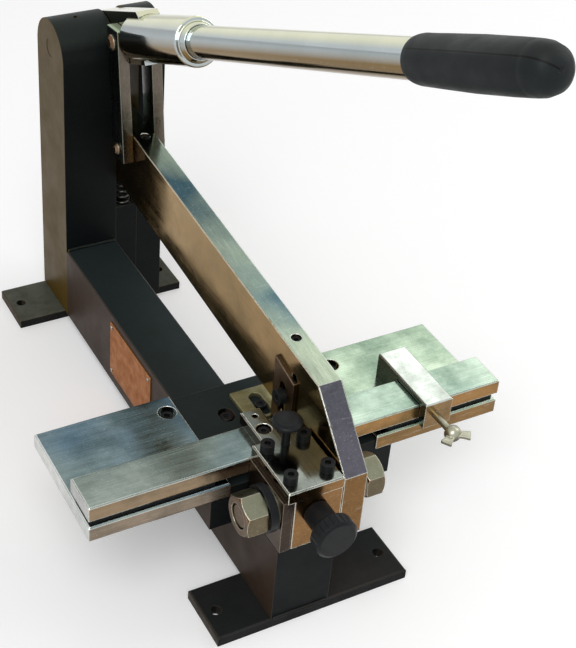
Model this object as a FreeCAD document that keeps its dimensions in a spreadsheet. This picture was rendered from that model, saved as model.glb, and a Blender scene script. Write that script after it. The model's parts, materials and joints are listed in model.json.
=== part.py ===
import FreeCAD, Part
import math
import os
import re
import Sketcher
from FreeCAD import Placement, Rotation, Vector

# Corner notcher: a die table across the front of a narrow beam, a shear arm
# that swings on a bolt in the head, and a hand lever in the rear column that
# pulls the arm down through two links.
# Every position below is taken from the middle of the beam (across), from the
# front face of the beam (along) and from the bench (up). datum_x and datum_y
# carry the finished pieces to the middle of the four bench bolts.

SIZES = {
    # bench bolts and datum
    "datum_x": -13.5, "datum_y": -240, "bolt_across": 146, "bolt_along": 428,
    "foot_hole": 4.5,
    # feet, beam and column
    "foot_thick": 9, "foot_left": -70, "foot_right": 98, "front_foot_rear": 53,
    "rear_foot_front": 427, "rear_foot_rear": 480.5,
    "beam_half": 25, "beam_top": 83.5, "beam_rear": 419,
    "column_rear": 481, "column_round": 31, "column_round_y": 450,
    "column_round_z": 275, "slot_left": 25, "slot_right": 46,
    "cheek_right": 71.5, "filler_top": 120, "edge_break": 1, "fine_break": 0.5,
    "spring_pocket": 25,
    # moving axes, along and up
    "arm_axis_y": 15.5, "arm_axis_z": 116.3, "lever_axis_y": 450,
    "lever_axis_z": 280, "upper_pin_y": 405.5, "upper_pin_z": 299,
    "lower_pin_y": 392.5, "lower_pin_z": 201,
    # clearances: running fit on pins, plain hole over a screw, side play
    "running": 0.05, "screw_gap": 0.2, "side_play": 0.5,
    # die block and tables
    "die_front": 52, "die_rear": 160, "die_bottom": 70, "die_left": -55,
    "die_right": 104, "ledge": 100, "die_mid_left": -39.5,
    "die_mid_right": 88.5, "die_top": 108.7, "die_well_left": 21,
    "die_well_right": 26.5, "die_well_front": 72.5, "die_well_rear": 107.5,
    "table_left": -153, "table_right": 202, "table_front": 51,
    "table_rear": 161, "table_top": 113, "table_edge": 1.2,
    "table_screw_left": -49.5, "table_screw_right": 98.5,
    "table_screw_rear": 142.7, "table_screw_front": 68,
    "die_screw_x": -5.5, "die_screw_y": 125.8,
    # fences and spacers
    "fence_bottom": 119.5, "fence_top": 132.5, "fence_rear": 85.4,
    "left_fence_end": 20, "right_fence_end": 48.5, "spacer_set_back": 3,
    # head
    "side_left": -25, "side_right": -16.5, "head_right": 24.5,
    "head_front": -2, "head_rear": 50.5, "top_plate_top": 142.5,
    "top_left": -22.3, "top_right": 24.2, "top_front": -3.6, "top_rear": 54,
    "finger_left": -13.7, "finger_right": 2.9, "finger_rear": 90.2,
    # pivot bolt, nuts and washers
    "bolt": 10, "nut_flats": 30, "left_nut_end": -52, "left_nut_start": -34,
    "washer_thick_end": -27.5, "right_washer_end": 48.3,
    "right_nut_end": 64,
    # arm
    "arm_left": 25.5, "arm_right": 45.5, "pin_play": 0.3, "pin_slide": 1.7,
    # blade and gauge
    "blade_left": 22.5, "blade_front": 75.6, "blade_rear": 106,
    "blade_slot": 9.5, "blade_screw_y": 89.4, "blade_screw_z": 147.6,
    "gauge_bottom": 108.7, "gauge_top": 112.7, "gauge_left": 6,
    "gauge_right": 36, "gauge_wide": 38, "gauge_front": 107.5,
    "gauge_rear": 144, "gauge_slot_x": 23, "gauge_slot": 11,
    "gauge_screw_y": 122.6,
    # stop slider and wing screw
    "stop_left": 125.5, "stop_right": 150.5, "stop_front": 43,
    "stop_rear": 114, "stop_top": 138, "stop_x": 136, "wing_z": 125.5,
    # knobs
    "knob_x": 1.5, "knob_y": 46, "adjust_x": 3, "adjust_z": 115,
    # links and pins
    "link_half": 11.5, "link_left_in": 15.2, "link_left_out": 25.2,
    "link_right_in": 45.8, "link_right_out": 55.8, "link_pin": 5,
    "lever_pin": 8, "cheek_left": -25,
    # lever, measured along and across the handle from the lever axis
    "lever_tilt": 23.2, "handle_x": 35.5, "handle_rise": 1.65,
    "socket_start": 63, "socket_end": 181.7, "socket_r": 20.2,
    "socket_mouth": 14.5, "socket_mouth_deep": 25, "tube_r": 12.5,
    "tube_wall": 2, "tube_start": 100, "grip_start": 487.5,
    "grip_end": 632,
    # return spring
    "spring_r": 7, "spring_wire": 2, "spring_y": 429,
    "spring_top": 151.6, "spring_turns": 10, "coil_gap": 0.6,
}

doc = FreeCAD.newDocument("corner_notcher")
sheet = doc.addObject("Spreadsheet::Sheet", "Sizes")
for row, (alias, value) in enumerate(SIZES.items(), start=1):
    sheet.set("A%d" % row, str(value))
    sheet.setAlias("A%d" % row, alias)
doc.recompute()

NODES = []
WORD = re.compile(r"[a-z][a-z_]+")
FUNCTIONS = ("sin", "cos", "tan", "sqrt", "deg")


def formula(text):
    """Turn size names in a formula into references to the sheet."""
    def named(match):
        word = match.group(0)
        if word in FUNCTIONS:
            return word
        return "Sizes." + word
    return WORD.sub(named, str(text))


def number(text):
    """Work a formula out, for starting values and for shapes made directly."""
    space = {"sin": lambda a: math.sin(math.radians(a)),
             "cos": lambda a: math.cos(math.radians(a))}
    total = 0.0
    for sign, term in terms(str(text)):
        product = 1.0
        for op, factor in factors(term):
            if factor.startswith(("sin(", "cos(")):
                amount = space[factor[:3]](number(factor[4:-1]))
            elif factor.startswith("("):
                amount = number(factor[1:-1])
            elif factor in SIZES:
                amount = float(sheet.get(factor))
            else:
                amount = float(factor)
            product = product * amount if op == "*" else product / amount
        total += sign * product
    return total


def terms(text):
    """Split a formula at its outer plus and minus signs."""
    found = []
    depth = 0
    word = ""
    sign = 1
    for char in text.replace(" ", ""):
        if char == "(":
            depth += 1
        if char == ")":
            depth -= 1
        if char in "+-" and depth == 0:
            if word:
                found.append((sign, word))
                sign = 1
            sign = sign * (1 if char == "+" else -1)
            word = ""
        else:
            word += char
    found.append((sign, word))
    return found


def factors(term):
    """Split a term at its outer multiply and divide signs."""
    found = []
    depth = 0
    word = ""
    op = "*"
    for char in term:
        if char == "(":
            depth += 1
        if char == ")":
            depth -= 1
        if char in "*/" and depth == 0:
            found.append((op, word))
            op = char
            word = ""
        else:
            word += char
    found.append((op, word))
    return found


def box(name, across, along, up):
    """A block from three pairs of low and high positions."""
    made = doc.addObject("Part::Box", name)
    spans = zip(("Length", "Width", "Height"), "xyz", (across, along, up))
    for size, axis, (low, high) in spans:
        made.setExpression(size, formula("(%s) - (%s)" % (high, low)))
        made.setExpression("Placement.Base." + axis, formula(low))
    return made


TURNS = {"x": Rotation(Vector(0, 1, 0), 90), "y": Rotation(Vector(1, 0, 0), -90),
         "z": Rotation()}


def turned(made, axis, start, first, second):
    """Stand a round or six sided piece on the named axis."""
    made.Placement = Placement(Vector(), TURNS[axis])
    others = [letter for letter in "xyz" if letter != axis]
    made.setExpression("Placement.Base." + axis, formula(start))
    made.setExpression("Placement.Base." + others[0], formula(first))
    made.setExpression("Placement.Base." + others[1], formula(second))
    return made


def rod(name, axis, radius, start, end, first, second):
    """A cylinder along an axis; first and second place its centre line."""
    made = doc.addObject("Part::Cylinder", name)
    made.setExpression("Radius", formula(radius))
    made.setExpression("Height", formula("(%s) - (%s)" % (end, start)))
    return turned(made, axis, start, first, second)


def hexagon(name, axis, flats, start, end, first, second):
    """A six sided bar along an axis, sized across its flats."""
    made = doc.addObject("Part::Prism", name)
    made.Polygon = 6
    made.setExpression("Circumradius", formula("(%s) * 0.57735" % flats))
    made.setExpression("Height", formula("(%s) - (%s)" % (end, start)))
    return turned(made, axis, start, first, second)


def taper(name, axis, low_r, high_r, start, end, first, second):
    """A cone along an axis."""
    made = doc.addObject("Part::Cone", name)
    made.setExpression("Radius1", formula(low_r))
    made.setExpression("Radius2", formula(high_r))
    made.setExpression("Height", formula("(%s) - (%s)" % (end, start)))
    return turned(made, axis, start, first, second)


def fuse(name, pieces):
    made = doc.addObject("Part::MultiFuse", name)
    made.Shapes = pieces
    made.Refine = True
    return made


def cut(name, base, tools):
    made = doc.addObject("Part::Cut", name)
    made.Base = base
    made.Tool = tools[0] if len(tools) == 1 else fuse(name + "_tools", tools)
    return made


def common(name, pieces):
    made = doc.addObject("Part::MultiCommon", name)
    made.Shapes = pieces
    return made


def break_edges(name, base, size, wanted):
    """Chamfer the edges of a piece whose middle point passes the test."""
    doc.recompute()
    amount = number(size)
    chosen = []
    for index, edge in enumerate(base.Shape.Edges, start=1):
        box_of_edge = edge.BoundBox
        if wanted(edge, box_of_edge):
            chosen.append((index, amount, amount))
    made = doc.addObject("Part::Chamfer", name)
    made.Base = base
    made.Edges = chosen
    return made


def straight(edge, span):
    return isinstance(edge.Curve, Part.Line) and edge.Length > 3


def top_edges(height):
    """A test for the straight edges of a face at one height."""
    def wanted(edge, span):
        level = abs(span.ZMin - height) < 0.01 and abs(span.ZMax - height) < 0.01
        return level and straight(edge, span)
    return wanted


def node(label, pieces):
    """Bind finished solids under one label and carry them to the datum."""
    made = doc.addObject("Part::Compound", "node_" + label)
    made.Links = pieces if isinstance(pieces, list) else [pieces]
    made.Label = label
    made.setExpression("Placement.Base.x", "Sizes.datum_x")
    made.setExpression("Placement.Base.y", "Sizes.datum_y")
    NODES.append(made)
    return made


def outline(name, plane, points, thick, start, datum=True):
    """A body padded from a closed outline of size formulas.

    plane YZ_Plane pads to the right, XY_Plane pads up and XZ_Plane pads
    to the front; start is where the outline lies on that axis.
    """
    body = doc.addObject("PartDesign::Body", name)
    sketch = body.newObject("Sketcher::SketchObject", name + "_outline")
    flat = [item for item in body.Origin.OriginFeatures if item.Role == plane][0]
    sketch.AttachmentSupport = [(flat, "")]
    sketch.MapMode = "FlatFace"
    places = [Vector(number(a), number(b), 0) for a, b in points]
    count = len(points)
    for index in range(count):
        after = places[(index + 1) % count]
        sketch.addGeometry(Part.LineSegment(places[index], after), False)
    for index in range(count):
        sketch.addConstraint(
            Sketcher.Constraint("Coincident", index, 2, (index + 1) % count, 1))
    for index, pair in enumerate(points):
        for kind, text in zip(("DistanceX", "DistanceY"), pair):
            spot = Sketcher.Constraint(kind, -1, 1, index, 1, number(text))
            at = sketch.addConstraint(spot)
            sketch.setExpression("Constraints[%d]" % at, formula(text))
    pad = body.newObject("PartDesign::Pad", name + "_pad")
    pad.Profile = sketch
    pad.setExpression("Length", formula(thick))
    sketch.Visibility = False
    axis = {"YZ_Plane": "x", "XY_Plane": "z", "XZ_Plane": "y"}[plane]
    body.setExpression("Placement.Base." + axis, formula(start))
    return body


def spun(name, profile, axis, start, first, second):
    """A body turned about its own upright axis from (radius, height) pairs."""
    body = doc.addObject("PartDesign::Body", name)
    sketch = body.newObject("Sketcher::SketchObject", name + "_outline")
    flat = [item for item in body.Origin.OriginFeatures
            if item.Role == "XZ_Plane"][0]
    sketch.AttachmentSupport = [(flat, "")]
    sketch.MapMode = "FlatFace"
    places = [Vector(number(a), number(b), 0) for a, b in profile]
    count = len(places)
    for index in range(count):
        after = places[(index + 1) % count]
        sketch.addGeometry(Part.LineSegment(places[index], after), False)
    for index in range(count):
        sketch.addConstraint(
            Sketcher.Constraint("Coincident", index, 2, (index + 1) % count, 1))
    for index, pair in enumerate(profile):
        for kind, text in zip(("DistanceX", "DistanceY"), pair):
            spot = Sketcher.Constraint(kind, -1, 1, index, 1, number(text))
            at = sketch.addConstraint(spot)
            sketch.setExpression("Constraints[%d]" % at, formula(text))
    turn = body.newObject("PartDesign::Revolution", name + "_turn")
    turn.Profile = sketch
    turn.ReferenceAxis = (sketch, ["V_Axis"])
    turn.Angle = 360
    return turned(body, axis, start, first, second)


def cap_screw(name, axis, head_r, head, shank_r, shank, seat, first, second,
              socket, outward=1):
    """A socket head screw; seat is where the underside of its head lies."""
    def span(near, far):
        ends = ["(%s) + (%s)" % (seat, near), "(%s) + (%s)" % (seat, far)]
        if outward < 0:
            ends = ["(%s) - (%s)" % (seat, far), "(%s) - (%s)" % (seat, near)]
        return ends
    low, high = span("0", head)
    body = rod(name + "_head", axis, head_r, low, high, first, second)
    low, high = span("-(%s)" % shank, "0.0")
    stem = rod(name + "_stem", axis, shank_r, low, high, first, second)
    low, high = span("(%s) * 0.45" % head, "(%s) + 1" % head)
    key = hexagon(name + "_key", axis, socket, low, high, first, second)
    return cut(name, fuse(name + "_solid", [body, stem]), [key])


# ---------------------------------------------------------------- base frame
def make_feet():
    for label, front, rear, spot in (
            ("front_foot", "0", "front_foot_rear", "(-datum_y) - bolt_along / 2"),
            ("rear_foot", "rear_foot_front", "rear_foot_rear",
             "(-datum_y) + bolt_along / 2")):
        plate = box(label + "_plate", ("foot_left", "foot_right"), (front, rear),
                    ("0", "foot_thick"))
        holes = []
        for side in ("-", "+"):
            across = "(-datum_x) %s bolt_across / 2" % side
            tag = label + ("_hole_a" if side == "-" else "_hole_b")
            holes.append(rod(tag, "z", "foot_hole", "-1", "foot_thick + 1",
                             across, spot))
        drilled = cut(label + "_drilled", plate, holes)
        node(label, break_edges(label + "_eased", drilled, "edge_break",
                                top_edges(number("foot_thick"))))


def make_beam():
    bar = box("beam_bar", ("-beam_half", "beam_half"), ("0", "beam_rear"),
              ("foot_thick", "beam_top"))
    screw = rod("beam_die_hole", "z", "3.1", "beam_top - 20", "beam_top + 1",
                "die_screw_x", "die_screw_y")
    drilled = cut("beam_drilled", bar, [screw])
    node("beam", break_edges("beam_eased", drilled, "edge_break",
                             top_edges(number("beam_top"))))


def make_column():
    for label, left, right in (("column_left_cheek", "-beam_half", "slot_left"),
                               ("column_right_cheek", "slot_right",
                                "cheek_right")):
        post = box(label + "_post", (left, right), ("beam_rear", "column_rear"),
                   ("foot_thick", "column_round_z"))
        crown = rod(label + "_crown", "x", "column_round", left, right,
                    "column_round_y", "column_round_z")
        bore = rod(label + "_bore", "x", "lever_pin + running",
                   "(%s) - 1" % left, "(%s) + 1" % right,
                   "lever_axis_y", "lever_axis_z")
        tools = [bore]
        if label == "column_left_cheek":
            tools.append(rod("oil_hole", "z", "2", "column_round_z + 26",
                             "column_round_z + 40", "-1.3", "449"))
        cheek = cut(label + "_bored", fuse(label + "_solid", [post, crown]), tools)
        node(label, cheek)
    block = box("filler_block", ("slot_left", "slot_right"),
                ("beam_rear", "column_rear"), ("foot_thick", "filler_top"))
    pocket = rod("filler_pocket", "z", "spring_r + 1.5",
                 "filler_top - spring_pocket", "filler_top + 1", "handle_x",
                 "spring_y")
    node("column_filler", cut("filler", block, [pocket]))


def make_name_plate():
    plate = box("name_plate_sheet", ("-beam_half - 1", "-beam_half"),
                ("226", "312"), ("20", "76"))
    rivets = []
    holes = []
    for index, (along, up) in enumerate((("230", "24"), ("308", "24"),
                                         ("230", "72"), ("308", "72"))):
        rivets.append(rod("plate_rivet_%d" % index, "x", "1.6",
                          "-beam_half - 1.9", "-beam_half", along, up))
        holes.append(rod("plate_hole_%d" % index, "x", "1.6 + screw_gap",
                         "-beam_half - 2", "-beam_half + 1", along, up))
    node("name_plate", cut("name_plate_drilled", plate, holes))
    node("name_plate_rivets", rivets)


# ------------------------------------------------------- die block and table
def make_die_block():
    edge = [("die_left", "die_bottom"), ("-beam_half", "die_bottom"),
            ("-beam_half", "beam_top"), ("beam_half", "beam_top"),
            ("beam_half", "die_bottom"), ("die_right", "die_bottom"),
            ("die_right", "ledge"), ("die_mid_right", "ledge"),
            ("die_mid_right", "die_top"), ("die_mid_left", "die_top"),
            ("die_mid_left", "ledge"), ("die_left", "ledge")]
    block = outline("die_block_body", "XZ_Plane", edge, "die_rear - die_front",
                    "die_rear")
    tools = [box("die_well", ("die_well_left", "die_well_right"),
                 ("die_well_front", "die_well_rear"),
                 ("beam_top + 6", "die_top + 1")),
             rod("die_sink", "z", "6.3", "die_top - 6", "die_top + 1",
                 "die_screw_x", "die_screw_y + 2"),
             rod("die_sink_b", "z", "6.3", "die_top - 6", "die_top + 1",
                 "die_screw_x", "die_screw_y - 2"),
             rod("die_through", "z", "3.1", "beam_top - 1", "die_top",
                 "die_screw_x", "die_screw_y"),
             rod("die_gauge_hole", "z", "2.5 + screw_gap", "die_top - 12",
                 "die_top + 1", "gauge_slot_x", "gauge_screw_y")]
    for tag, across, along in table_screw_spots():
        tools.append(rod("die_" + tag, "z", "3 + screw_gap", "ledge - 14",
                         "ledge + 1", across, along))
    node("die_block", cut("die_block_cut", block, tools))
    head = rod("die_screw_head", "z", "5.5", "die_top - 6", "die_top - 1.5",
               "die_screw_x", "die_screw_y")
    stem = rod("die_screw_stem", "z", "3", "beam_top - 15", "die_top - 6",
               "die_screw_x", "die_screw_y")
    slot = box("die_screw_slot", ("die_screw_x - 8", "die_screw_x + 8"),
               ("die_screw_y - 0.7", "die_screw_y + 0.7"),
               ("die_top - 3", "die_top"))
    node("die_block_screw", cut("die_screw", fuse("die_screw_solid",
                                                  [head, stem]), [slot]))


def table_screw_spots():
    spots = []
    for side in ("left", "right"):
        for end in ("front", "rear"):
            spots.append(("table_hole_%s_%s" % (side, end),
                          "table_screw_" + side, "table_screw_" + end))
    return spots


def make_tables():
    screws = []
    for side, left, right in (("left", "table_left", "die_mid_left"),
                              ("right", "die_mid_right", "table_right")):
        plate = box(side + "_table", (left, right), ("table_front", "table_rear"),
                    ("ledge", "table_top"))
        tools = []
        for tag, across, along in table_screw_spots():
            if side not in tag:
                continue
            tools.append(rod(side + tag + "_sink", "z", "7.5", "ledge + 4",
                             "table_top + 1", across, along))
            tools.append(rod(side + tag + "_bore", "z", "3 + screw_gap", "ledge - 1",
                             "ledge + 5", across, along))
            screws.append(cap_screw(side + tag + "_screw", "z", "5", "6", "3",
                                    "15", "ledge + 4", across, along, "5"))
        drilled = cut(side + "_table_drilled", plate, tools)
        node(side + "_table_plate",
             break_edges(side + "_table_eased", drilled, "table_edge",
                         top_edges(number("table_top"))))
    node("table_screws", screws)


def make_fences():
    for side, left, right in (("left", "table_left", "left_fence_end"),
                              ("right", "right_fence_end", "table_right")):
        bar = box(side + "_fence_bar", (left, right),
                  ("table_front", "fence_rear"), ("fence_bottom", "fence_top"))
        tools = []
        if side == "left":
            tools = [rod("finger_thread", "z", "2.5 + screw_gap", "fence_top - 8",
                         "fence_top + 1", "-5.8", "66.4")]
        done = cut(side + "_fence_cut", bar, tools) if tools else bar
        node(side + "_fence", break_edges(side + "_fence_eased", done,
                                          "edge_break",
                                          top_edges(number("fence_top"))))
        near = "(%s) + spacer_set_back" % left
        far = "die_mid_left - 12" if side == "left" else right + " - spacer_set_back"
        if side == "right":
            near = "die_mid_right + 12"
        node(side + "_fence_spacer",
             box(side + "_spacer_bar", (near, far),
                 ("table_front + spacer_set_back", "fence_rear"),
                 ("table_top", "fence_bottom")))


# ---------------------------------------------------------------------- head
def make_head():
    bolt_hole = rod("side_bolt_hole", "x", "bolt + running", "side_left - 1",
                    "side_right + 1", "arm_axis_y", "arm_axis_z")
    side = box("side_slab", ("side_left", "side_right"),
               ("head_front", "head_rear"), ("beam_top", "fence_top"))
    side_tools = [bolt_hole]
    for tag, across, along in head_screw_spots():
        if tag.endswith("left"):
            side_tools.append(rod("side_" + tag, "z", "3 + screw_gap",
                                  "fence_top - 10", "fence_top + 1", across,
                                  along))
    node("head_side_plate", cut("side_bored", side, side_tools))
    block = box("head_slab", ("side_right", "head_right"),
                ("head_front", "head_rear"), ("beam_top", "fence_top"))
    tools = [rod("head_bolt_hole", "x", "bolt + running", "side_right - 1",
                 "head_right + 1", "arm_axis_y", "arm_axis_z"),
             rod("head_adjust_hole", "y", "4 + running", "head_front - 1", "8",
                 "adjust_x", "adjust_z"),
             rod("head_knob_hole", "z", "3.25 + running", "fence_top - 10",
                 "fence_top + 1", "knob_x", "knob_y")]
    for tag, across, along in head_screw_spots():
        tools.append(rod("head_" + tag, "z", "3 + screw_gap", "fence_top - 10",
                         "fence_top + 1", across, along))
    bored = cut("head_bored", block, tools)
    node("head_block", break_edges(
        "head_eased", bored, "1.5",
        lambda edge, span: straight(edge, span) and abs(
            span.YMax - number("head_front")) < 0.01 and abs(
            span.XMax - number("side_right")) < 0.01))


def head_screw_spots():
    spots = []
    for row, along in (("front", "9"), ("rear", "45")):
        for side, across in (("left", "-14.4"), ("right", "16.2")):
            spots.append(("cap_%s_%s" % (row, side), across, along))
    return spots


def make_top_plate():
    edge = [("top_left", "top_front"), ("top_right", "top_front"),
            ("top_right", "top_rear"), ("finger_right", "top_rear"),
            ("finger_right", "finger_rear"), ("finger_left", "finger_rear"),
            ("finger_left", "top_rear"), ("top_left", "top_rear")]
    plate = outline("top_plate_body", "XY_Plane", edge,
                    "top_plate_top - fence_top", "fence_top")
    tools = [rod("finger_sink", "z", "6", "top_plate_top - 6",
                 "top_plate_top + 1", "-5.8", "66.4"),
             rod("finger_bore", "z", "2.5 + screw_gap", "fence_top - 1",
                 "top_plate_top - 5", "-5.8", "66.4"),
             rod("finger_pin_hole", "z", "2.4", "fence_top - 1",
                 "top_plate_top + 1", "-5.2", "81.9"),
             rod("top_knob_hole", "z", "3.25 + running", "fence_top - 1",
                 "top_plate_top + 1", "knob_x", "knob_y")]
    screws = []
    for tag, across, along in head_screw_spots():
        tools.append(rod("top_" + tag, "z", "3 + screw_gap", "fence_top - 1",
                         "top_plate_top + 1", across, along))
        screws.append(cap_screw(tag, "z", "5.4", "7", "3", "16",
                                "top_plate_top", across, along, "5"))
    drilled = cut("top_plate_drilled", plate, tools)
    node("head_top_plate", break_edges(
        "top_plate_eased", drilled, "edge_break",
        top_edges(number("top_plate_top"))))
    node("head_cap_screws", screws)
    node("finger_screw", cap_screw("finger_screw_solid", "z", "4.5", "4.5",
                                   "2.5", "10", "top_plate_top - 6", "-5.8",
                                   "66.4", "4"))


def hex_nut(name, low, high):
    """A bored hexagon nut on the pivot bolt with both ends turned down."""
    prism = hexagon(name + "_hex", "x", "nut_flats", low, high, "arm_axis_y",
                    "arm_axis_z")
    edge = [("0", "0"), ("nut_flats * 0.5", "0"),
            ("nut_flats * 0.5774 + 0.3", "1.8"),
            ("nut_flats * 0.5774 + 0.3", "(%s) - (%s) - 1.8" % (high, low)),
            ("nut_flats * 0.5", "(%s) - (%s)" % (high, low)),
            ("0", "(%s) - (%s)" % (high, low))]
    dome = spun(name + "_turned", edge, "x", low, "arm_axis_y", "arm_axis_z")
    bore = rod(name + "_bore", "x", "bolt + running", "(%s) - 1" % low,
               "(%s) + 1" % high, "arm_axis_y", "arm_axis_z")
    return cut(name, common(name + "_form", [prism, dome]), [bore])


def washer(name, radius, low, high):
    disc = rod(name + "_disc", "x", radius, low, high, "arm_axis_y", "arm_axis_z")
    bore = rod(name + "_bore", "x", "bolt + running", "(%s) - 1" % low,
               "(%s) + 1" % high, "arm_axis_y", "arm_axis_z")
    return cut(name, disc, [bore])


def make_pivot():
    stem = rod("bolt_stem", "x", "bolt", "left_nut_end + 1", "right_nut_end + 2",
               "arm_axis_y", "arm_axis_z")
    node("pivot_bolt", break_edges("bolt_eased", stem, "1.5",
                                   lambda edge, span: edge.Length > 40
                                   and span.XLength < 0.01))
    node("pivot_nuts", [hex_nut("left_nut", "left_nut_end", "left_nut_start"),
                        hex_nut("right_nut", "right_washer_end",
                                "right_nut_end")])
    node("pivot_washer_thick", washer("thick_washer", "18.5", "left_nut_start",
                                      "washer_thick_end"))
    node("pivot_washer_thin", washer("thin_washer", "16", "washer_thick_end",
                                     "side_left"))
    node("pivot_spacer_washers",
         [washer("arm_washer", "15", "head_right", "arm_left - 0.2"),
          washer("right_washer", "16", "arm_right + 0.2", "right_washer_end")])


# ------------------------------------------------------------- arm and blade
def make_arm():
    edge = [("-1.5", "77.5"), ("45", "80"), ("45", "124"), ("49", "126.5"),
            ("139", "129.7"), ("320", "144"), ("445", "153.9"),
            ("445", "221.3"), ("385", "216.5"), ("46.9", "188.9"),
            ("-1.5", "137")]
    arm = outline("press_arm_body", "YZ_Plane", edge, "arm_right - arm_left",
                  "arm_left")
    slot = [rod("arm_pin_front", "x", "link_pin + pin_play", "arm_left - 1",
                "arm_right + 1", "lower_pin_y - pin_slide", "lower_pin_z"),
            rod("arm_pin_rear", "x", "link_pin + pin_play", "arm_left - 1",
                "arm_right + 1", "lower_pin_y + pin_slide", "lower_pin_z"),
            box("arm_pin_mid", ("arm_left - 1", "arm_right + 1"),
                ("lower_pin_y - pin_slide", "lower_pin_y + pin_slide"),
                ("lower_pin_z - link_pin - pin_play",
                 "lower_pin_z + link_pin + pin_play"))]
    tools = slot + [
        rod("arm_bolt_hole", "x", "bolt + running", "arm_left - 1",
            "arm_right + 1", "arm_axis_y", "arm_axis_z"),
        rod("arm_side_hole", "x", "4", "arm_left - 1", "arm_left + 12", "80",
            "171"),
        rod("arm_blade_hole", "x", "3 + screw_gap", "arm_left - 1", "arm_left + 12",
            "blade_screw_y", "blade_screw_z"),
        rod("arm_set_a", "z", "4.3", "180", "230", "handle_x", "99"),
        rod("arm_set_b", "z", "4.3", "205", "230", "handle_x", "380")]
    cut_arm = cut("press_arm_cut", arm, tools)
    node("press_arm", break_edges(
        "press_arm_eased", cut_arm, "fine_break",
        lambda edge, span: straight(edge, span) and span.XLength < 0.01
        and span.ZMax > 130 and edge.Length > 40))
    sets = []
    for tag, along, low, high in (("a", "99", "181", "191.5"),
                                  ("b", "380", "206", "214.5")):
        slug = rod("set_%s" % tag, "z", "4.1", low, high, "handle_x", along)
        key = hexagon("set_%s_key" % tag, "z", "4", "(%s) - 4" % high,
                      "(%s) + 1" % high, "handle_x", along)
        sets.append(cut("set_screw_%s" % tag, slug, [key]))
    node("arm_set_screws", sets)


def make_blade():
    edge = [("blade_front", "113.4"), ("blade_rear", "113.4"),
            ("blade_rear", "175"), ("blade_front", "168.4")]
    plate = outline("blade_body", "YZ_Plane", edge, "arm_left - blade_left",
                    "blade_left")
    middle = "(blade_front + blade_rear) / 2"
    slot = [rod("blade_slot_low", "x", "blade_slot / 2", "blade_left - 1",
                "arm_left + 1", middle, "129"),
            rod("blade_slot_high", "x", "blade_slot / 2", "blade_left - 1",
                "arm_left + 1", middle, "154.5"),
            box("blade_slot_mid", ("blade_left - 1", "arm_left + 1"),
                (middle + " - blade_slot / 2", middle + " + blade_slot / 2"),
                ("129", "154.5"))]
    cut_blade = cut("blade_cut", plate, slot)
    node("blade", break_edges(
        "blade_eased", cut_blade, "fine_break",
        lambda edge, span: abs(span.XMax - number("blade_left")) < 0.01))
    node("blade_screw", cap_screw("blade_screw_solid", "x", "6.5", "6", "3",
                                  "14.5", "blade_left", "blade_screw_y",
                                  "blade_screw_z", "5", outward=-1))


def make_gauge():
    edge = [("gauge_left", "gauge_front"), ("gauge_wide", "gauge_front"),
            ("gauge_wide", "130"), ("gauge_right", "130"),
            ("gauge_right", "gauge_rear"), ("gauge_left", "gauge_rear")]
    plate = outline("gauge_body", "XY_Plane", edge, "gauge_top - gauge_bottom",
                    "gauge_bottom")
    slot = [rod("gauge_slot_front", "z", "gauge_slot / 2", "gauge_bottom - 1",
                "gauge_top + 1", "gauge_slot_x", "118"),
            rod("gauge_slot_rear", "z", "gauge_slot / 2", "gauge_bottom - 1",
                "gauge_top + 1", "gauge_slot_x", "132.5"),
            box("gauge_slot_mid", ("gauge_slot_x - gauge_slot / 2",
                                   "gauge_slot_x + gauge_slot / 2"),
                ("118", "132.5"), ("gauge_bottom - 1", "gauge_top + 1"))]
    node("gauge_plate", break_edges(
        "gauge_eased", cut("gauge_cut", plate, slot), "fine_break",
        top_edges(number("gauge_top"))))


def make_gauge_screw():
    """A shoulder screw whose neck fills the gauge slot loosely."""
    head = rod("gauge_head", "z", "7", "gauge_top + 0.1", "gauge_top + 3.4",
               "gauge_slot_x", "gauge_screw_y")
    neck = rod("gauge_neck", "z", "4", "gauge_bottom", "gauge_top + 0.1",
               "gauge_slot_x", "gauge_screw_y")
    stem = rod("gauge_stem", "z", "2.5", "gauge_bottom - 11", "gauge_bottom",
               "gauge_slot_x", "gauge_screw_y")
    key = hexagon("gauge_key", "z", "5", "gauge_top + 1.2", "gauge_top + 5",
                  "gauge_slot_x", "gauge_screw_y")
    node("gauge_screw", cut("gauge_screw_solid",
                            fuse("gauge_screw_body", [head, neck, stem]), [key]))


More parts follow.
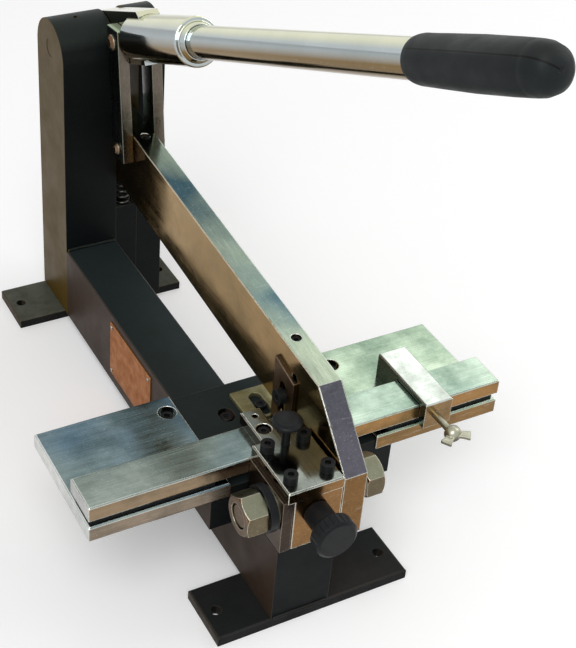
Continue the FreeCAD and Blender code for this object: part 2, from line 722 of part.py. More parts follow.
# ---------------------------------------------------- stop slider and knobs
def make_stop():
    edge = [("stop_front", "114.5"), ("table_front - 0.5", "114.5"),
            ("table_front - 0.5", "fence_top + 1"),
            ("fence_rear + 0.6", "fence_top + 1"),
            ("fence_rear + 0.6", "table_top + 0.1"),
            ("stop_rear", "table_top + 0.1"), ("stop_rear", "stop_top"),
            ("stop_front", "stop_top")]
    saddle = outline("stop_body", "YZ_Plane", edge, "stop_right - stop_left",
                     "stop_left")
    bore = rod("stop_bore", "y", "3 + running", "stop_front - 1", "table_front",
               "stop_x", "wing_z")
    node("stop_slider", break_edges(
        "stop_eased", cut("stop_cut", saddle, [bore]), "edge_break",
        top_edges(number("stop_top"))))
    shaft = rod("wing_shaft", "y", "3", "21", "table_front - 0.6", "stop_x",
                "wing_z")
    hub = rod("wing_hub", "y", "5.5", "13.5", "23", "stop_x", "wing_z")
    nose = taper("wing_nose", "y", "4", "5.5", "11.5", "13.5", "stop_x", "wing_z")
    wings = []
    for side, sign in (("left", "-"), ("right", "+")):
        blade = box("wing_" + side, ("stop_x - 14", "stop_x"), ("8.5", "19"),
                    ("wing_z - 1.8", "wing_z + 1.8"))
        if side == "right":
            blade.setExpression("Placement.Base.x", formula("stop_x"))
        wings.append(break_edges(
            "wing_%s_shaped" % side, blade, "5",
            lambda edge, span, at=side: span.ZLength > 3
            and abs(span.XMin - number("stop_x")) > 10 and span.XLength < 0.01
            and span.YLength < 0.01))
    node("wing_screw", fuse("wing_screw_solid", [shaft, hub, nose] + wings))


def make_knobs():
    profile = [("0", "0"), ("3.25", "0"), ("3.25", "25.5"), ("9.5", "26.5"),
               ("11.75", "28.3"), ("11.75", "30"), ("10.8", "31.2"),
               ("8.5", "31.9"), ("0", "32")]
    node("clamp_knob", spun("clamp_knob_body", profile, "z", "134.5", "knob_x",
                            "knob_y"))
    profile = [("0", "0"), ("14.5", "0"), ("16.2", "1.2"), ("17", "2"),
               ("17", "11"), ("16.2", "12.2"), ("10.7", "13.4"),
               ("10.7", "31.5"), ("10.2", "32.8"), ("4", "32.8"),
               ("4", "39.5"), ("0", "39.5")]
    knob = spun("adjust_body", profile, "y", "-35", "adjust_x", "adjust_z")
    grooves = []
    for index in range(24):
        angle = 15 * index
        groove = rod("knurl_%d" % index, "y", "0.9", "-36", "-21.5",
                     "adjust_x + 17.3 * cos(%d)" % angle,
                     "adjust_z + 17.3 * sin(%d)" % angle)
        grooves.append(groove)
    node("adjusting_knob", cut("adjust_cut", knob, grooves))


# ----------------------------------------------------------- links and pins
def make_links():
    for label, left, right in (("link_left", "link_left_in", "link_left_out"),
                               ("link_right", "link_right_in",
                                "link_right_out")):
        length = math.hypot(number("upper_pin_y - lower_pin_y"),
                            number("upper_pin_z - lower_pin_z"))
        lean = math.degrees(math.atan2(number("upper_pin_y - lower_pin_y"),
                                       number("upper_pin_z - lower_pin_z")))
        bar = box(label + "_bar", (left, right), ("lower_pin_y", "lower_pin_y"),
                  ("lower_pin_z", "lower_pin_z"))
        bar.setExpression("Width", formula("link_half * 2"))
        bar.setExpression(
            "Height", formula("sqrt((upper_pin_y - lower_pin_y)^2"
                              " + (upper_pin_z - lower_pin_z)^2)"))
        bar.Placement = Placement(bar.Placement.Base,
                                  Rotation(Vector(1, 0, 0), -lean))
        bar.setExpression("Placement.Base.y", formula(
            "lower_pin_y - link_half * %.6f" % math.cos(math.radians(lean))))
        bar.setExpression("Placement.Base.z", formula(
            "lower_pin_z + link_half * %.6f" % math.sin(math.radians(lean))))
        ends = [rod(label + "_top", "x", "link_half", left, right,
                    "upper_pin_y", "upper_pin_z"),
                rod(label + "_foot", "x", "link_half", left, right,
                    "lower_pin_y", "lower_pin_z")]
        bores = [rod(label + "_bore_a", "x", "link_pin + running",
                     "(%s) - 1" % left, "(%s) + 1" % right, "upper_pin_y",
                     "upper_pin_z"),
                 rod(label + "_bore_b", "x", "link_pin + running",
                     "(%s) - 1" % left, "(%s) + 1" % right, "lower_pin_y",
                     "lower_pin_z")]
        node(label, cut(label + "_bored", fuse(label + "_solid", [bar] + ends),
                        bores))
        print("link", label, "between pins %.2f" % length)
    for label, along, up, dome in (
            ("upper_link_pin", "upper_pin_y", "upper_pin_z", "7"),
            ("lower_link_pin", "lower_pin_y", "lower_pin_z", "5.6")):
        stem = rod(label + "_stem", "x", "link_pin", "link_left_in",
                   "link_right_out", along, up)
        heads = [taper(label + "_head_a", "x", dome + " * 0.6", dome,
                       "link_left_in - 3.6", "link_left_in - 1.4", along, up),
                 rod(label + "_rim_a", "x", dome, "link_left_in - 1.4",
                     "link_left_in", along, up),
                 rod(label + "_rim_b", "x", dome, "link_right_out",
                     "link_right_out + 1.4", along, up),
                 taper(label + "_head_b", "x", dome, dome + " * 0.6",
                       "link_right_out + 1.4", "link_right_out + 3.6", along,
                       up)]
        node(label, fuse(label + "_solid", [stem] + heads))
    node("lever_pivot_pin", rod("lever_pin_stem", "x", "lever_pin",
                                "cheek_left + 0.3", "cheek_right - 0.3",
                                "lever_axis_y", "lever_axis_z"))


# ------------------------------------------------------------------- handle
def on_handle(piece, name):
    """Lay a piece made level behind the lever axis along the handle."""
    made = doc.addObject("Part::Compound", name)
    made.Links = [piece]
    tilt = number("lever_tilt")
    made.Placement = Placement(Vector(0, 0, 0), Rotation(Vector(1, 0, 0), -tilt))
    made.setExpression("Placement.Base.y", "Sizes.lever_axis_y")
    made.setExpression("Placement.Base.z", "Sizes.lever_axis_z")
    return made


def along_handle(name, radius, near, far):
    """A rod on the handle line; distances run from the lever axis forwards."""
    return rod(name, "y", radius, "-(%s)" % far, "-(%s)" % near, "handle_x",
               "handle_rise")


def make_lever():
    slab = box("lever_slab", ("arm_left", "arm_right"), ("-89", "0"),
               ("-20", "25"))
    bar = break_edges(
        "lever_eased", slab, "4",
        lambda edge, span: span.XLength > 15 and abs(span.YMin + 89) < 0.01
        and abs(span.ZMin - 25) < 0.01)
    heel = rod("lever_heel", "x", "22.5", "arm_left", "arm_right", "0", "2.5")
    solid = fuse("lever_solid", [bar, heel])
    link_y = "(upper_pin_y - lever_axis_y)"
    link_z = "(upper_pin_z - lever_axis_z)"
    along = link_y + " * cos(lever_tilt) - " + link_z + " * sin(lever_tilt)"
    up = link_y + " * sin(lever_tilt) + " + link_z + " * cos(lever_tilt)"
    tools = [rod("lever_pin_bore", "x", "lever_pin + running", "arm_left - 1",
                 "arm_right + 1", "0", "0"),
             rod("lever_link_bore", "x", "link_pin + running", "arm_left - 1",
                 "arm_right + 1", along, up),
             along_handle("lever_socket_bed", "socket_r", "socket_start", "120")]
    shaped = cut("lever_cut", solid, tools)
    node("lever_bar", on_handle(shaped, "lever_bar_laid"))
    sleeve = along_handle("socket_sleeve", "socket_r", "socket_start",
                          "socket_end")
    bores = [along_handle("socket_bore", "tube_r + running", "tube_start",
                          "socket_end + 1"),
             along_handle("socket_mouth_bore", "socket_mouth",
                          "socket_end - socket_mouth_deep", "socket_end + 1")]
    socket = break_edges(
        "socket_eased", cut("socket_cut", sleeve, bores), "fine_break",
        lambda edge, span: edge.Length > 80 and span.YLength < 0.01)
    node("handle_socket", on_handle(socket, "handle_socket_laid"))
    tube = along_handle("tube_outer", "tube_r", "tube_start", "grip_end - 5")
    hollow = along_handle("tube_inner", "tube_r - tube_wall", "tube_start - 1",
                          "grip_end")
    node("handle_tube", on_handle(cut("tube_cut", tube, [hollow]),
                                  "handle_tube_laid"))


def make_grip():
    length = "grip_end - grip_start"
    profile = [("tube_r + running", "0"), ("14.2", "0"), ("14.6", "0.8"),
               ("14.7", "18"), ("14.1", "48"), ("14.3", "78"),
               ("15.4", "106"), ("16", "124"), ("16", length + " - 9"),
               ("15.4", length + " - 5"), ("13.8", length + " - 2"),
               ("11", length + " - 0.5"), ("1.6", length), ("1.4", length + " - 1"),
               ("0", length + " - 1"), ("0", length + " - 4.5"),
               ("tube_r + running", length + " - 4.5")]
    grip = spun("grip_body", profile, "z", "0", "handle_x", "0")
    grip.Placement = Placement(Vector(0, 0, 0), Rotation(Vector(1, 0, 0), 90))
    grip.setExpression("Placement.Base.y", formula("-grip_start"))
    grip.setExpression("Placement.Base.z", formula("handle_rise"))
    flat = box("grip_flat", ("handle_x - 8", "handle_x + 8"),
               ("-grip_end + 32", "-grip_start - 70"),
               ("handle_rise + 14.4", "handle_rise + 20"))
    node("grip", on_handle(cut("grip_cut", grip, [flat]), "grip_laid"))


# ------------------------------------------------------------ return spring
def coil_point(turn):
    """Place and heading of the wire's centre after so many turns."""
    turns = number("spring_turns")
    wire = number("spring_wire")
    low = number("filler_top - spring_pocket") + wire / 2
    high = number("spring_top") - wire / 2
    closed = wire + number("coil_gap")
    middle = (high - low - 2 * closed) / (turns - 2)
    if turn <= 1:
        height = low + closed * turn
        climb = closed
    elif turn >= turns - 1:
        height = high - closed * (turns - turn)
        climb = closed
    else:
        height = low + closed + middle * (turn - 1)
        climb = middle
    if abs(turn - 1) < 0.001 or abs(turn - turns + 1) < 0.001:
        climb = (closed + middle) / 2
    angle = 2 * math.pi * turn
    radius = number("spring_r")
    place = Vector(radius * math.cos(angle), radius * math.sin(angle), height)
    way = Vector(-2 * math.pi * radius * math.sin(angle),
                 2 * math.pi * radius * math.cos(angle), climb)
    return place, way.normalize()


def arc(start, way, end):
    """The arc that leaves start along way and arrives at end."""
    chord = end - start
    ahead = Vector(chord).normalize()
    aside = way - ahead * way.dot(ahead)
    half = way.getAngle(chord) / 2
    bulge = Vector(aside).normalize() * (chord.Length / 2 * math.tan(half))
    return Part.Arc(start, (start + end) * 0.5 + bulge, end)


def biarc(first, first_way, second, second_way):
    """Two arcs that join two points, each with its own heading."""
    span = second - first
    both = first_way + second_way
    spare = 2 * (1 - first_way.dot(second_way))
    reach = -span.dot(both) + math.sqrt(
        span.dot(both) ** 2 + spare * span.dot(span))
    reach = reach / spare
    joint = (first + second + (first_way - second_way) * reach) * 0.5
    back = arc(second, second_way * -1, joint)
    return [arc(first, first_way, joint), back]


def make_spring():
    """One unbroken coil of wire swept on arcs, with closed ends."""
    quarters = int(number("spring_turns") * 4)
    edges = []
    centres = []
    for step in range(quarters):
        first, first_way = coil_point(step / 4)
        second, second_way = coil_point((step + 1) / 4)
        curves = biarc(first, first_way, second, second_way)
        edges.extend(curve.toShape() for curve in curves)
        centres.extend(coil_point((step + part / 8) / 4)[0]
                       for part in range(8))
    spine = Part.Wire(Part.__sortEdges__(edges))
    start, way = coil_point(0)
    ring = Part.Wire([Part.makeCircle(number("spring_wire / 2"), start, way)])
    sweep = Part.BRepOffsetAPI.MakePipeShell(spine)
    sweep.add(ring)
    sweep.build()
    sweep.makeSolid()
    made = doc.addObject("Part::Feature", "spring_coil")
    made.Shape = sweep.shape()
    made.setExpression("Placement.Base.x", "Sizes.handle_x")
    made.setExpression("Placement.Base.y", "Sizes.spring_y")
    least = min((centres[a] - centres[b]).Length
                for a in range(len(centres))
                for b in range(a + 20, len(centres)))
    print("least gap in the coil %.2f mm" % (least - number("spring_wire")))
    node("return_spring", made)


make_feet()
make_beam()
make_column()
make_name_plate()
make_die_block()
make_tables()
make_fences()
make_head()
make_top_plate()
make_pivot()
make_arm()
make_blade()
make_gauge()
make_gauge_screw()
make_stop()
make_knobs()
make_links()
make_lever()
make_grip()
make_spring()
doc.recompute()

# ------------------------------------------------------------ check and write
faults = []
for item in doc.Objects:
    if "Invalid" in item.State or "Error" in item.State:
        faults.append(item.Name)
for item in NODES:
    shape = item.Shape
    if shape.isNull() or not shape.isValid() or not shape.Solids:
        faults.append(item.Label)
if faults:
    raise RuntimeError("faulty: " + ", ".join(faults))
os.makedirs("parts", exist_ok=True)
for item in NODES:
    item.Shape.exportStep("parts/%s.step" % item.Label)
print("written", len(NODES), "pieces")
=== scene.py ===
import json
import logging
import math
from dataclasses import dataclass, field
from enum import Enum
from typing import ClassVar, Dict, Optional, Sequence, Tuple, Union

import bpy
from mathutils import Matrix, Vector


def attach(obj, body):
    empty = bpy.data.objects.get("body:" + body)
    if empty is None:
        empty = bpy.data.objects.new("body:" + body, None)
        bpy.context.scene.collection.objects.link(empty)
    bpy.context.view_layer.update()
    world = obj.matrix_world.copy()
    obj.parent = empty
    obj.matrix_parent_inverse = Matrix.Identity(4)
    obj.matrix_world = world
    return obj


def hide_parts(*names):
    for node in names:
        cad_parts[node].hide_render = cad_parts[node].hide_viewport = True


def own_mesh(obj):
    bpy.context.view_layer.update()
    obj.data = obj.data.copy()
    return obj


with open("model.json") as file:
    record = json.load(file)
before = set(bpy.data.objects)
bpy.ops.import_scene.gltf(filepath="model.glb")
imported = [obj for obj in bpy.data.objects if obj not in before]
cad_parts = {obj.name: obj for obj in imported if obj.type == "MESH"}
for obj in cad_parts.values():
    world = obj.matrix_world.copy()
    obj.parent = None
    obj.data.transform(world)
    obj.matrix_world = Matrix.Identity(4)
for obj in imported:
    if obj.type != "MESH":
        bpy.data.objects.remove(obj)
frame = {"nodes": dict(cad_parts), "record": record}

LOG = logging.getLogger("corner_notcher")
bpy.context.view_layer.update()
Colour = Tuple[float, float, float]
Point = Tuple[float, float, float]
Span = Tuple[float, float]
Profile = Tuple[Span, ...]
Tree = bpy.types.NodeTree
Piece = bpy.types.Object
WHITE: Colour = (1.0, 1.0, 1.0)


class Grain(Enum):
    """Which way a steel face's grinding lines run, as a stretch of noise."""

    ACROSS = (0.02, 1.0, 1.0)
    ALONG = (1.0, 0.02, 1.0)
    UPRIGHT = (1.0, 1.0, 0.02)
    NONE = None


class Tool:
    """Small helpers for shader nodes, which take sockets or plain values."""

    @staticmethod
    def feed(tree: Tree, value: object, socket: object) -> None:
        """Link a socket to an input, or write a plain value on it.

        Args:
            tree: the node tree.
            value: a socket, a number, a vector or a colour.
            socket: the input that takes it.
        """
        if isinstance(value, bpy.types.NodeSocket):
            tree.links.new(value, socket)
        elif socket.type == "RGBA":
            socket.default_value = (*value, 1.0)
        else:
            socket.default_value = value

    @classmethod
    def add(cls, tree: Tree, kind: str,
            inputs: Optional[Dict[Union[int, str], object]] = None,
            **modes: object) -> object:
        """Add a node, set its modes and feed its inputs.

        Args:
            tree: the node tree.
            kind: the node's type.
            inputs: a socket or a plain value for each input.
            modes: the node's own settings, such as operation.

        Returns:
            The node.
        """
        made = tree.nodes.new(kind)
        for name, value in modes.items():
            setattr(made, name, value)
        for name, value in (inputs or {}).items():
            cls.feed(tree, value, made.inputs[name])
        return made

    @classmethod
    def maths(cls, tree: Tree, kind: str, first: object,
              second: object = 0.5) -> object:
        """Add a Math node and return its output socket."""
        return cls.add(tree, "ShaderNodeMath", {0: first, 1: second},
                       operation=kind).outputs[0]

    @classmethod
    def dot(cls, tree: Tree, first: object, second: object) -> object:
        """Return the dot product of two vectors."""
        return cls.add(tree, "ShaderNodeVectorMath", {0: first, 1: second},
                       operation="DOT_PRODUCT").outputs["Value"]

    @classmethod
    def noise(cls, tree: Tree, where: object, scale: object,
              detail: float, rough: float) -> object:
        """Add a noise texture.

        Args:
            tree: the node tree.
            where: the coordinates' socket.
            scale: how fine the noise is.
            detail: how many finer layers it has.
            rough: how strong the finer layers are.

        Returns:
            Its value's socket.
        """
        return cls.add(tree, "ShaderNodeTexNoise", {
            "Detail": detail, "Roughness": rough, "Scale": scale,
            "Vector": where}).outputs[0]

    @classmethod
    def ramp(cls, tree: Tree, value: object, span: Span,
             ends: Span = (0.0, 1.0)) -> object:
        """Spread a value over a span and return the clamped result.

        Args:
            tree: the node tree.
            value: the socket to spread.
            span: the values that give the first and the second end.
            ends: what comes out at each of them.

        Returns:
            The result's socket.
        """
        return cls.add(tree, "ShaderNodeMapRange", {
            "From Min": span[0], "From Max": span[1], "To Min": ends[0],
            "To Max": ends[1], "Value": value}).outputs["Result"]

    @classmethod
    def blend(cls, tree: Tree, amount: object, first: object, second: object,
              kind: str = "MIX") -> object:
        """Mix two colours by a mask.

        Args:
            tree: the node tree.
            amount: the mask.
            first: the colour where the mask is nothing.
            second: the colour where the mask is one.
            kind: the way that they are mixed.

        Returns:
            The mixed colour's socket.
        """
        made = cls.add(tree, "ShaderNodeMix", {"Factor": amount},
                       data_type="RGBA", blend_type=kind)
        slots = [s for s in made.inputs if s.type == "RGBA"]
        for slot, value in zip(slots, (first, second)):
            cls.feed(tree, value, slot)
        return [s for s in made.outputs if s.type == "RGBA"][0]

    @staticmethod
    def place(tree: Tree, kind: str = "Object") -> object:
        """Return a socket of the piece's own coordinates."""
        return tree.nodes.new("ShaderNodeTexCoord").outputs[kind]

    @classmethod
    def unlit(cls, tree: Tree) -> object:
        """Tell rays of the eye, of gloss and of glass from those that light.

        Args:
            tree: the node tree.

        Returns:
            A socket of one for the former and nothing for the others.
        """
        rays = tree.nodes.new("ShaderNodeLightPath").outputs
        seen = cls.maths(tree, "MAXIMUM", rays["Is Camera Ray"],
                         rays["Is Glossy Ray"])
        return cls.maths(tree, "MAXIMUM", seen, rays["Is Transmission Ray"])


class SurfaceEffects:
    """Shader groups that several finishes share.

    Each span is where a part of the normal starts and fills a mask.
    """

    SIDE: ClassVar[Span] = (0.45, 0.75)
    FRONT: ClassVar[Span] = (0.78, 0.92)
    SLOPE_AHEAD: ClassVar[Span] = (0.4, 0.6)
    SLOPE_UP: ClassVar[Span] = (0.35, 0.55)
    UNDER: ClassVar[Span] = (0.26, -0.16)
    CROWN: ClassVar[Span] = (0.50, 0.78)
    BEVEL_SAMPLES: ClassVar[int] = 6

    @staticmethod
    def _group(name: str, inputs: Dict[str, Optional[float]],
               outputs: Sequence[str]) -> Tuple[object, object, object]:
        """Start a shader group.

        Args:
            name: the group's name.
            inputs: each input's value, with None for a vector.
            outputs: the outputs' names, of which Normal is a vector.

        Returns:
            The group, its input sockets and its output sockets.
        """
        group = bpy.data.node_groups.new(name, "ShaderNodeTree")
        for title, value in inputs.items():
            kind = "NodeSocketVector" if value is None else "NodeSocketFloat"
            made = group.interface.new_socket(name=title, in_out="INPUT",
                                              socket_type=kind)
            if value is not None:
                made.default_value = value
        for title in outputs:
            kind = "Vector" if title == "Normal" else "Float"
            group.interface.new_socket(name=title, in_out="OUTPUT",
                                       socket_type="NodeSocket" + kind)
        return (group, group.nodes.new("NodeGroupInput").outputs,
                group.nodes.new("NodeGroupOutput").inputs)

    @classmethod
    def grinding(cls) -> object:
        """Make fine lines and long scratches, as from a grinding belt.

        Returns:
            The shader group.
        """
        group, ins, outs = cls._group(
            "grinding_lines", {"Vector": None, "Scratches": 0.5},
            ("Lines", "Scratch"))
        fine = Tool.noise(group, ins["Vector"], 900.0, 3.0, 0.7)
        coarse = Tool.noise(group, ins["Vector"], 220.0, 2.0, 0.5)
        lines = Tool.maths(group, "ADD",
                           Tool.maths(group, "MULTIPLY", fine, 0.65),
                           Tool.maths(group, "MULTIPLY", coarse, 0.35))
        warp = Tool.add(group, "ShaderNodeMapping", {
            "Rotation": (0.5, 0.3, 0.7), "Scale": (6.0, 90.0, 30.0),
            "Vector": Tool.place(group)})
        streak = Tool.noise(group, warp.outputs[0], 9.0, 3.0, 0.55)
        scratch = Tool.maths(group, "MULTIPLY",
                             Tool.ramp(group, streak, (0.62, 0.70)),
                             ins["Scratches"])
        Tool.feed(group, lines, outs["Lines"])
        Tool.feed(group, scratch, outs["Scratch"])
        return group

    @classmethod
    def edge_wear_and_highlight(cls) -> object:
        """Make a mask along outer edges, broken by noise, for rubbed edges and
        painted edge highlights, and a soft edge.

        Returns:
            The shader group.
        """
        group, ins, outs = cls._group("edge_wear_and_highlight", {"Width": 0.0006},
                                      ("Edge", "Normal"))
        rounded = Tool.add(group, "ShaderNodeBevel", {"Radius": ins["Width"]},
                           samples=cls.BEVEL_SAMPLES).outputs[0]
        flat = group.nodes.new("ShaderNodeNewGeometry").outputs["Normal"]
        turned = Tool.maths(group, "SUBTRACT", 1.0,
                            Tool.dot(group, rounded, flat))
        near = Tool.ramp(group, turned, (0.006, 0.06))
        patchy = Tool.noise(group, Tool.place(group), 120.0, 4.0, 0.7)
        edge = Tool.maths(group, "MULTIPLY", near,
                          Tool.ramp(group, patchy, (0.28, 0.46)))
        Tool.feed(group, edge, outs["Edge"])
        Tool.feed(group, rounded, outs["Normal"])
        return group

    @classmethod
    def facing(cls) -> object:
        """Make masks of sides, fronts, slopes, undersides and crowns, which
        place the painted reflections and shade.

        Returns:
            The shader group.
        """
        group, _, outs = cls._group(
            "facing", {}, ("Side", "Front", "Slope", "Under", "Crown"))
        split = Tool.add(group, "ShaderNodeSeparateXYZ",
                         {0: Tool.place(group, "Normal")})
        across, along, up = split.outputs
        ahead = Tool.maths(group, "ABSOLUTE", along)
        masks = {
            "Side": Tool.ramp(group, Tool.maths(group, "ABSOLUTE", across),
                              cls.SIDE),
            "Front": Tool.ramp(group, ahead, cls.FRONT),
            "Slope": Tool.maths(group, "MULTIPLY",
                                Tool.ramp(group, ahead, cls.SLOPE_AHEAD),
                                Tool.ramp(group, up, cls.SLOPE_UP)),
            "Under": Tool.ramp(group, up, cls.UNDER),
            "Crown": Tool.ramp(group, up, cls.CROWN)}
        for title, mask in masks.items():
            Tool.feed(group, mask, outs[title])
        return group

    @classmethod
    def dust(cls) -> object:
        """Make soft uneven patches of dust, oil and handling.

        Returns:
            The shader group.
        """
        group, ins, outs = cls._group("handling_marks", {"Scale": 30.0},
                                      ("Patch", "Speck", "Fine", "Tint"))
        place = Tool.place(group)
        patch = Tool.noise(group, place, ins["Scale"], 6.0, 0.65)
        tint = Tool.noise(group, place, 9.0, 2.0, 0.5)
        speck = Tool.noise(group, place, 900.0, 2.0, 0.5)
        marks = {"Patch": Tool.ramp(group, patch, (0.38, 0.68)),
                 "Speck": Tool.ramp(group, speck, (0.64, 0.74)),
                 "Fine": Tool.noise(group, place, 1500.0, 3.0, 0.6),
                 "Tint": Tool.ramp(group, tint, (0.35, 0.65))}
        for title, mark in marks.items():
            Tool.feed(group, mark, outs[title])
        return group


@dataclass(frozen=True)
class PaintedReflections:
    """Painted reflections and shade: how a finish shifts in colour on faces
    that look different ways, standing in for the surroundings that the faces
    mirror.
    """

    side: Optional[Colour] = None
    front: Optional[Colour] = None
    slope: Optional[Colour] = None
    under: Optional[Colour] = None
    crown: Optional[Colour] = None

    def apply(self, tree: Tree, masks: object, colour: object) -> object:
        """Blend each painted reflection and shade tint over a colour by its
        own mask.

        Args:
            tree: the material's node tree.
            masks: the facing group's node.
            colour: the colour socket to start from.

        Returns:
            The blended colour socket.
        """
        for title in ("Crown", "Side", "Front", "Slope", "Under"):
            painted_tone = getattr(self, title.lower())
            if painted_tone is not None:
                colour = Tool.blend(tree, masks.outputs[title], colour, painted_tone)
        return colour


@dataclass(frozen=True)
class Seam:
    """A mould line where one plane cuts a piece, ahead of another plane."""

    across: Point
    offset: float
    facing: Point
    facing_offset: float
    half: float = 0.00035
    fade: float = 2.2
    start: float = 0.001
    colour: Colour = (0.003, 0.003, 0.003)

    def mask(self, tree: Tree) -> object:
        """Make a mask of one on the line and none beside it.

        Args:
            tree: the material's node tree.

        Returns:
            The mask's socket.
        """
        near = self._distance(tree, self.across, self.offset)
        line = Tool.ramp(tree, Tool.maths(tree, "ABSOLUTE", near),
                         (self.half, self.half * self.fade), (1.0, 0.0))
        side = Tool.ramp(tree, self._distance(
            tree, self.facing, self.facing_offset), (0.0, self.start))
        return Tool.maths(tree, "MULTIPLY", line, side)

    @staticmethod
    def _distance(tree: Tree, normal: Point, offset: float) -> object:
        """Measure how far a point lies from a plane."""
        return Tool.maths(tree, "SUBTRACT",
                          Tool.dot(tree, Tool.place(tree), normal), offset)


@dataclass(frozen=True)
class Finish:
    """A finish with its colours, gloss, marks and grain.

    Attributes:
        stain: what a dull patch multiplies the colour by.
        worn_and_highlight: the colour of rubbed edges, specks and scratches,
            and of the painted highlights along the edges of bare steel.
        spread: what a dull patch adds to the roughness.
        edge: how wide the rubbed and highlighted edges are, in metres.
        patches: the scale of the dull patches.
        stained: how strong the dull patches are.
        shift: the colour that wide soft areas turn to.
    """

    name: str
    colour: Colour
    stain: Colour
    worn_and_highlight: Colour
    rough: float
    spread: float = 0.16
    metal: float = 1.0
    # Painted reflections and shade, laid on faces by the way they face.
    painted_reflections: PaintedReflections = field(default_factory=PaintedReflections)
    edge: float = 0.0008
    # Share of the edge colour: rubbed paint on painted parts, a painted
    # highlight on bare steel.
    edge_wear_and_highlight_share: float = 0.5
    bump: float = 0.05
    shine: float = 0.5
    grain: Grain = Grain.NONE
    scratches: float = 0.0
    patches: float = 30.0
    stained: float = 0.6
    shift: Optional[Colour] = None
    seam: Optional[Seam] = None

    SPECK_SHARE: ClassVar[float] = 0.22
    SCRATCH_ROUGHNESS: ClassVar[float] = 0.15
    RELIEF: ClassVar[float] = 0.0002

    def build(self, groups: Dict[str, object]) -> bpy.types.Material:
        """Make the material.

        Args:
            groups: the shared shader groups by name.

        Returns:
            The finished material.
        """
        made = bpy.data.materials.new(self.name)
        made.use_nodes = True
        tree = made.node_tree
        wear_and_highlight = self._use(tree, groups["edge_wear_and_highlight"], {"Width": self.edge})
        marks = self._use(tree, groups["dust"], {"Scale": self.patches})
        facing = self._use(tree, groups["facing"], {})
        # Painted reflections and shade by facing go over the base colour here.
        colour = self.painted_reflections.apply(tree, facing, Tool.blend(
            tree, marks.outputs["Tint"], self.colour,
            self.shift or self.colour))
        rough = Tool.ramp(tree, marks.outputs["Patch"], (0.0, 1.0),
                          (self.rough, self.rough + self.spread))
        height = marks.outputs["Fine"]
        if self.grain is not Grain.NONE:
            colour, rough, height = self._ground(tree, groups["grinding"],
                                                 colour, rough)
        colour = self._marked(tree, marks, wear_and_highlight, colour)
        if self.seam is not None:
            line = self.seam.mask(tree)
            colour = Tool.blend(tree, line, colour, self.seam.colour)
            height = Tool.maths(tree, "SUBTRACT", height, line)
        relief = Tool.add(tree, "ShaderNodeBump", {
            "Strength": self.bump, "Distance": self.RELIEF,
            "Height": height, "Normal": wear_and_highlight.outputs["Normal"]})
        shader = tree.nodes["Principled BSDF"]
        for name, value in (("Base Color", colour), ("Roughness", rough),
                            ("Metallic", self.metal),
                            ("Specular IOR Level", self.shine),
                            ("Normal", relief.outputs[0])):
            Tool.feed(tree, value, shader.inputs[name])
        return made

    @staticmethod
    def _use(tree: Tree, group: object, inputs: Dict[str, object]) -> object:
        """Put a shared group into a material."""
        return Tool.add(tree, "ShaderNodeGroup", inputs, node_tree=group)

    def _marked(self, tree: Tree, marks: object, wear_and_highlight: object,
                colour: object) -> object:
        """Darken a colour in patches and lay the rubbed colour at specks and
        along edges, where on bare steel it is a painted highlight.

        Args:
            tree: the material's node tree.
            marks: the handling marks' node.
            wear_and_highlight: the node of the rubbed edges and painted edge
                highlights.
            colour: the colour's socket.

        Returns:
            The marked colour's socket.
        """
        dull = Tool.maths(tree, "MULTIPLY", marks.outputs["Patch"],
                          self.stained)
        colour = Tool.blend(tree, dull, colour, Tool.blend(
            tree, 1.0, colour, self.stain, "MULTIPLY"))
        # Edges take the rubbed colour; on bare steel this is a painted
        # highlight along each edge.
        for mask, share in ((wear_and_highlight.outputs["Edge"], self.edge_wear_and_highlight_share),
                            (marks.outputs["Speck"], self.SPECK_SHARE)):
            part = Tool.maths(tree, "MULTIPLY", mask, share)
            colour = Tool.blend(tree, part, colour, self.worn_and_highlight)
        return colour

    def _ground(self, tree: Tree, group: object, colour: object,
                rough: object) -> Tuple[object, object, object]:
        """Add grinding lines and scratches to the colour, gloss and relief.

        Args:
            tree: the material's node tree.
            group: the grinding lines' group.
            colour: the colour's socket.
            rough: the roughness's socket.

        Returns:
            The new colour, the new roughness and the relief, as sockets.
        """
        stretch = Tool.add(tree, "ShaderNodeMapping", {
            "Scale": self.grain.value, "Vector": Tool.place(tree)})
        ground = self._use(tree, group, {
            "Scratches": self.scratches, "Vector": stretch.outputs[0]})
        lines, scratch = ground.outputs["Lines"], ground.outputs["Scratch"]
        dark = Tool.ramp(tree, lines, (0.35, 0.65), (0.3, 0.0))
        shaded = Tool.add(tree, "ShaderNodeHueSaturation", {
            "Color": colour,
            "Value": Tool.ramp(tree, dark, (0.0, 0.3), (1.12, 0.8))})
        colour = Tool.blend(tree, scratch, shaded.outputs[0], self.worn_and_highlight)
        spread = Tool.ramp(tree, lines, (0.3, 0.7), (-0.05, 0.07))
        rough = Tool.maths(tree, "ADD", Tool.maths(
            tree, "ADD", rough, spread), Tool.maths(
                tree, "MULTIPLY", scratch, self.SCRATCH_ROUGHNESS))
        return colour, rough, lines
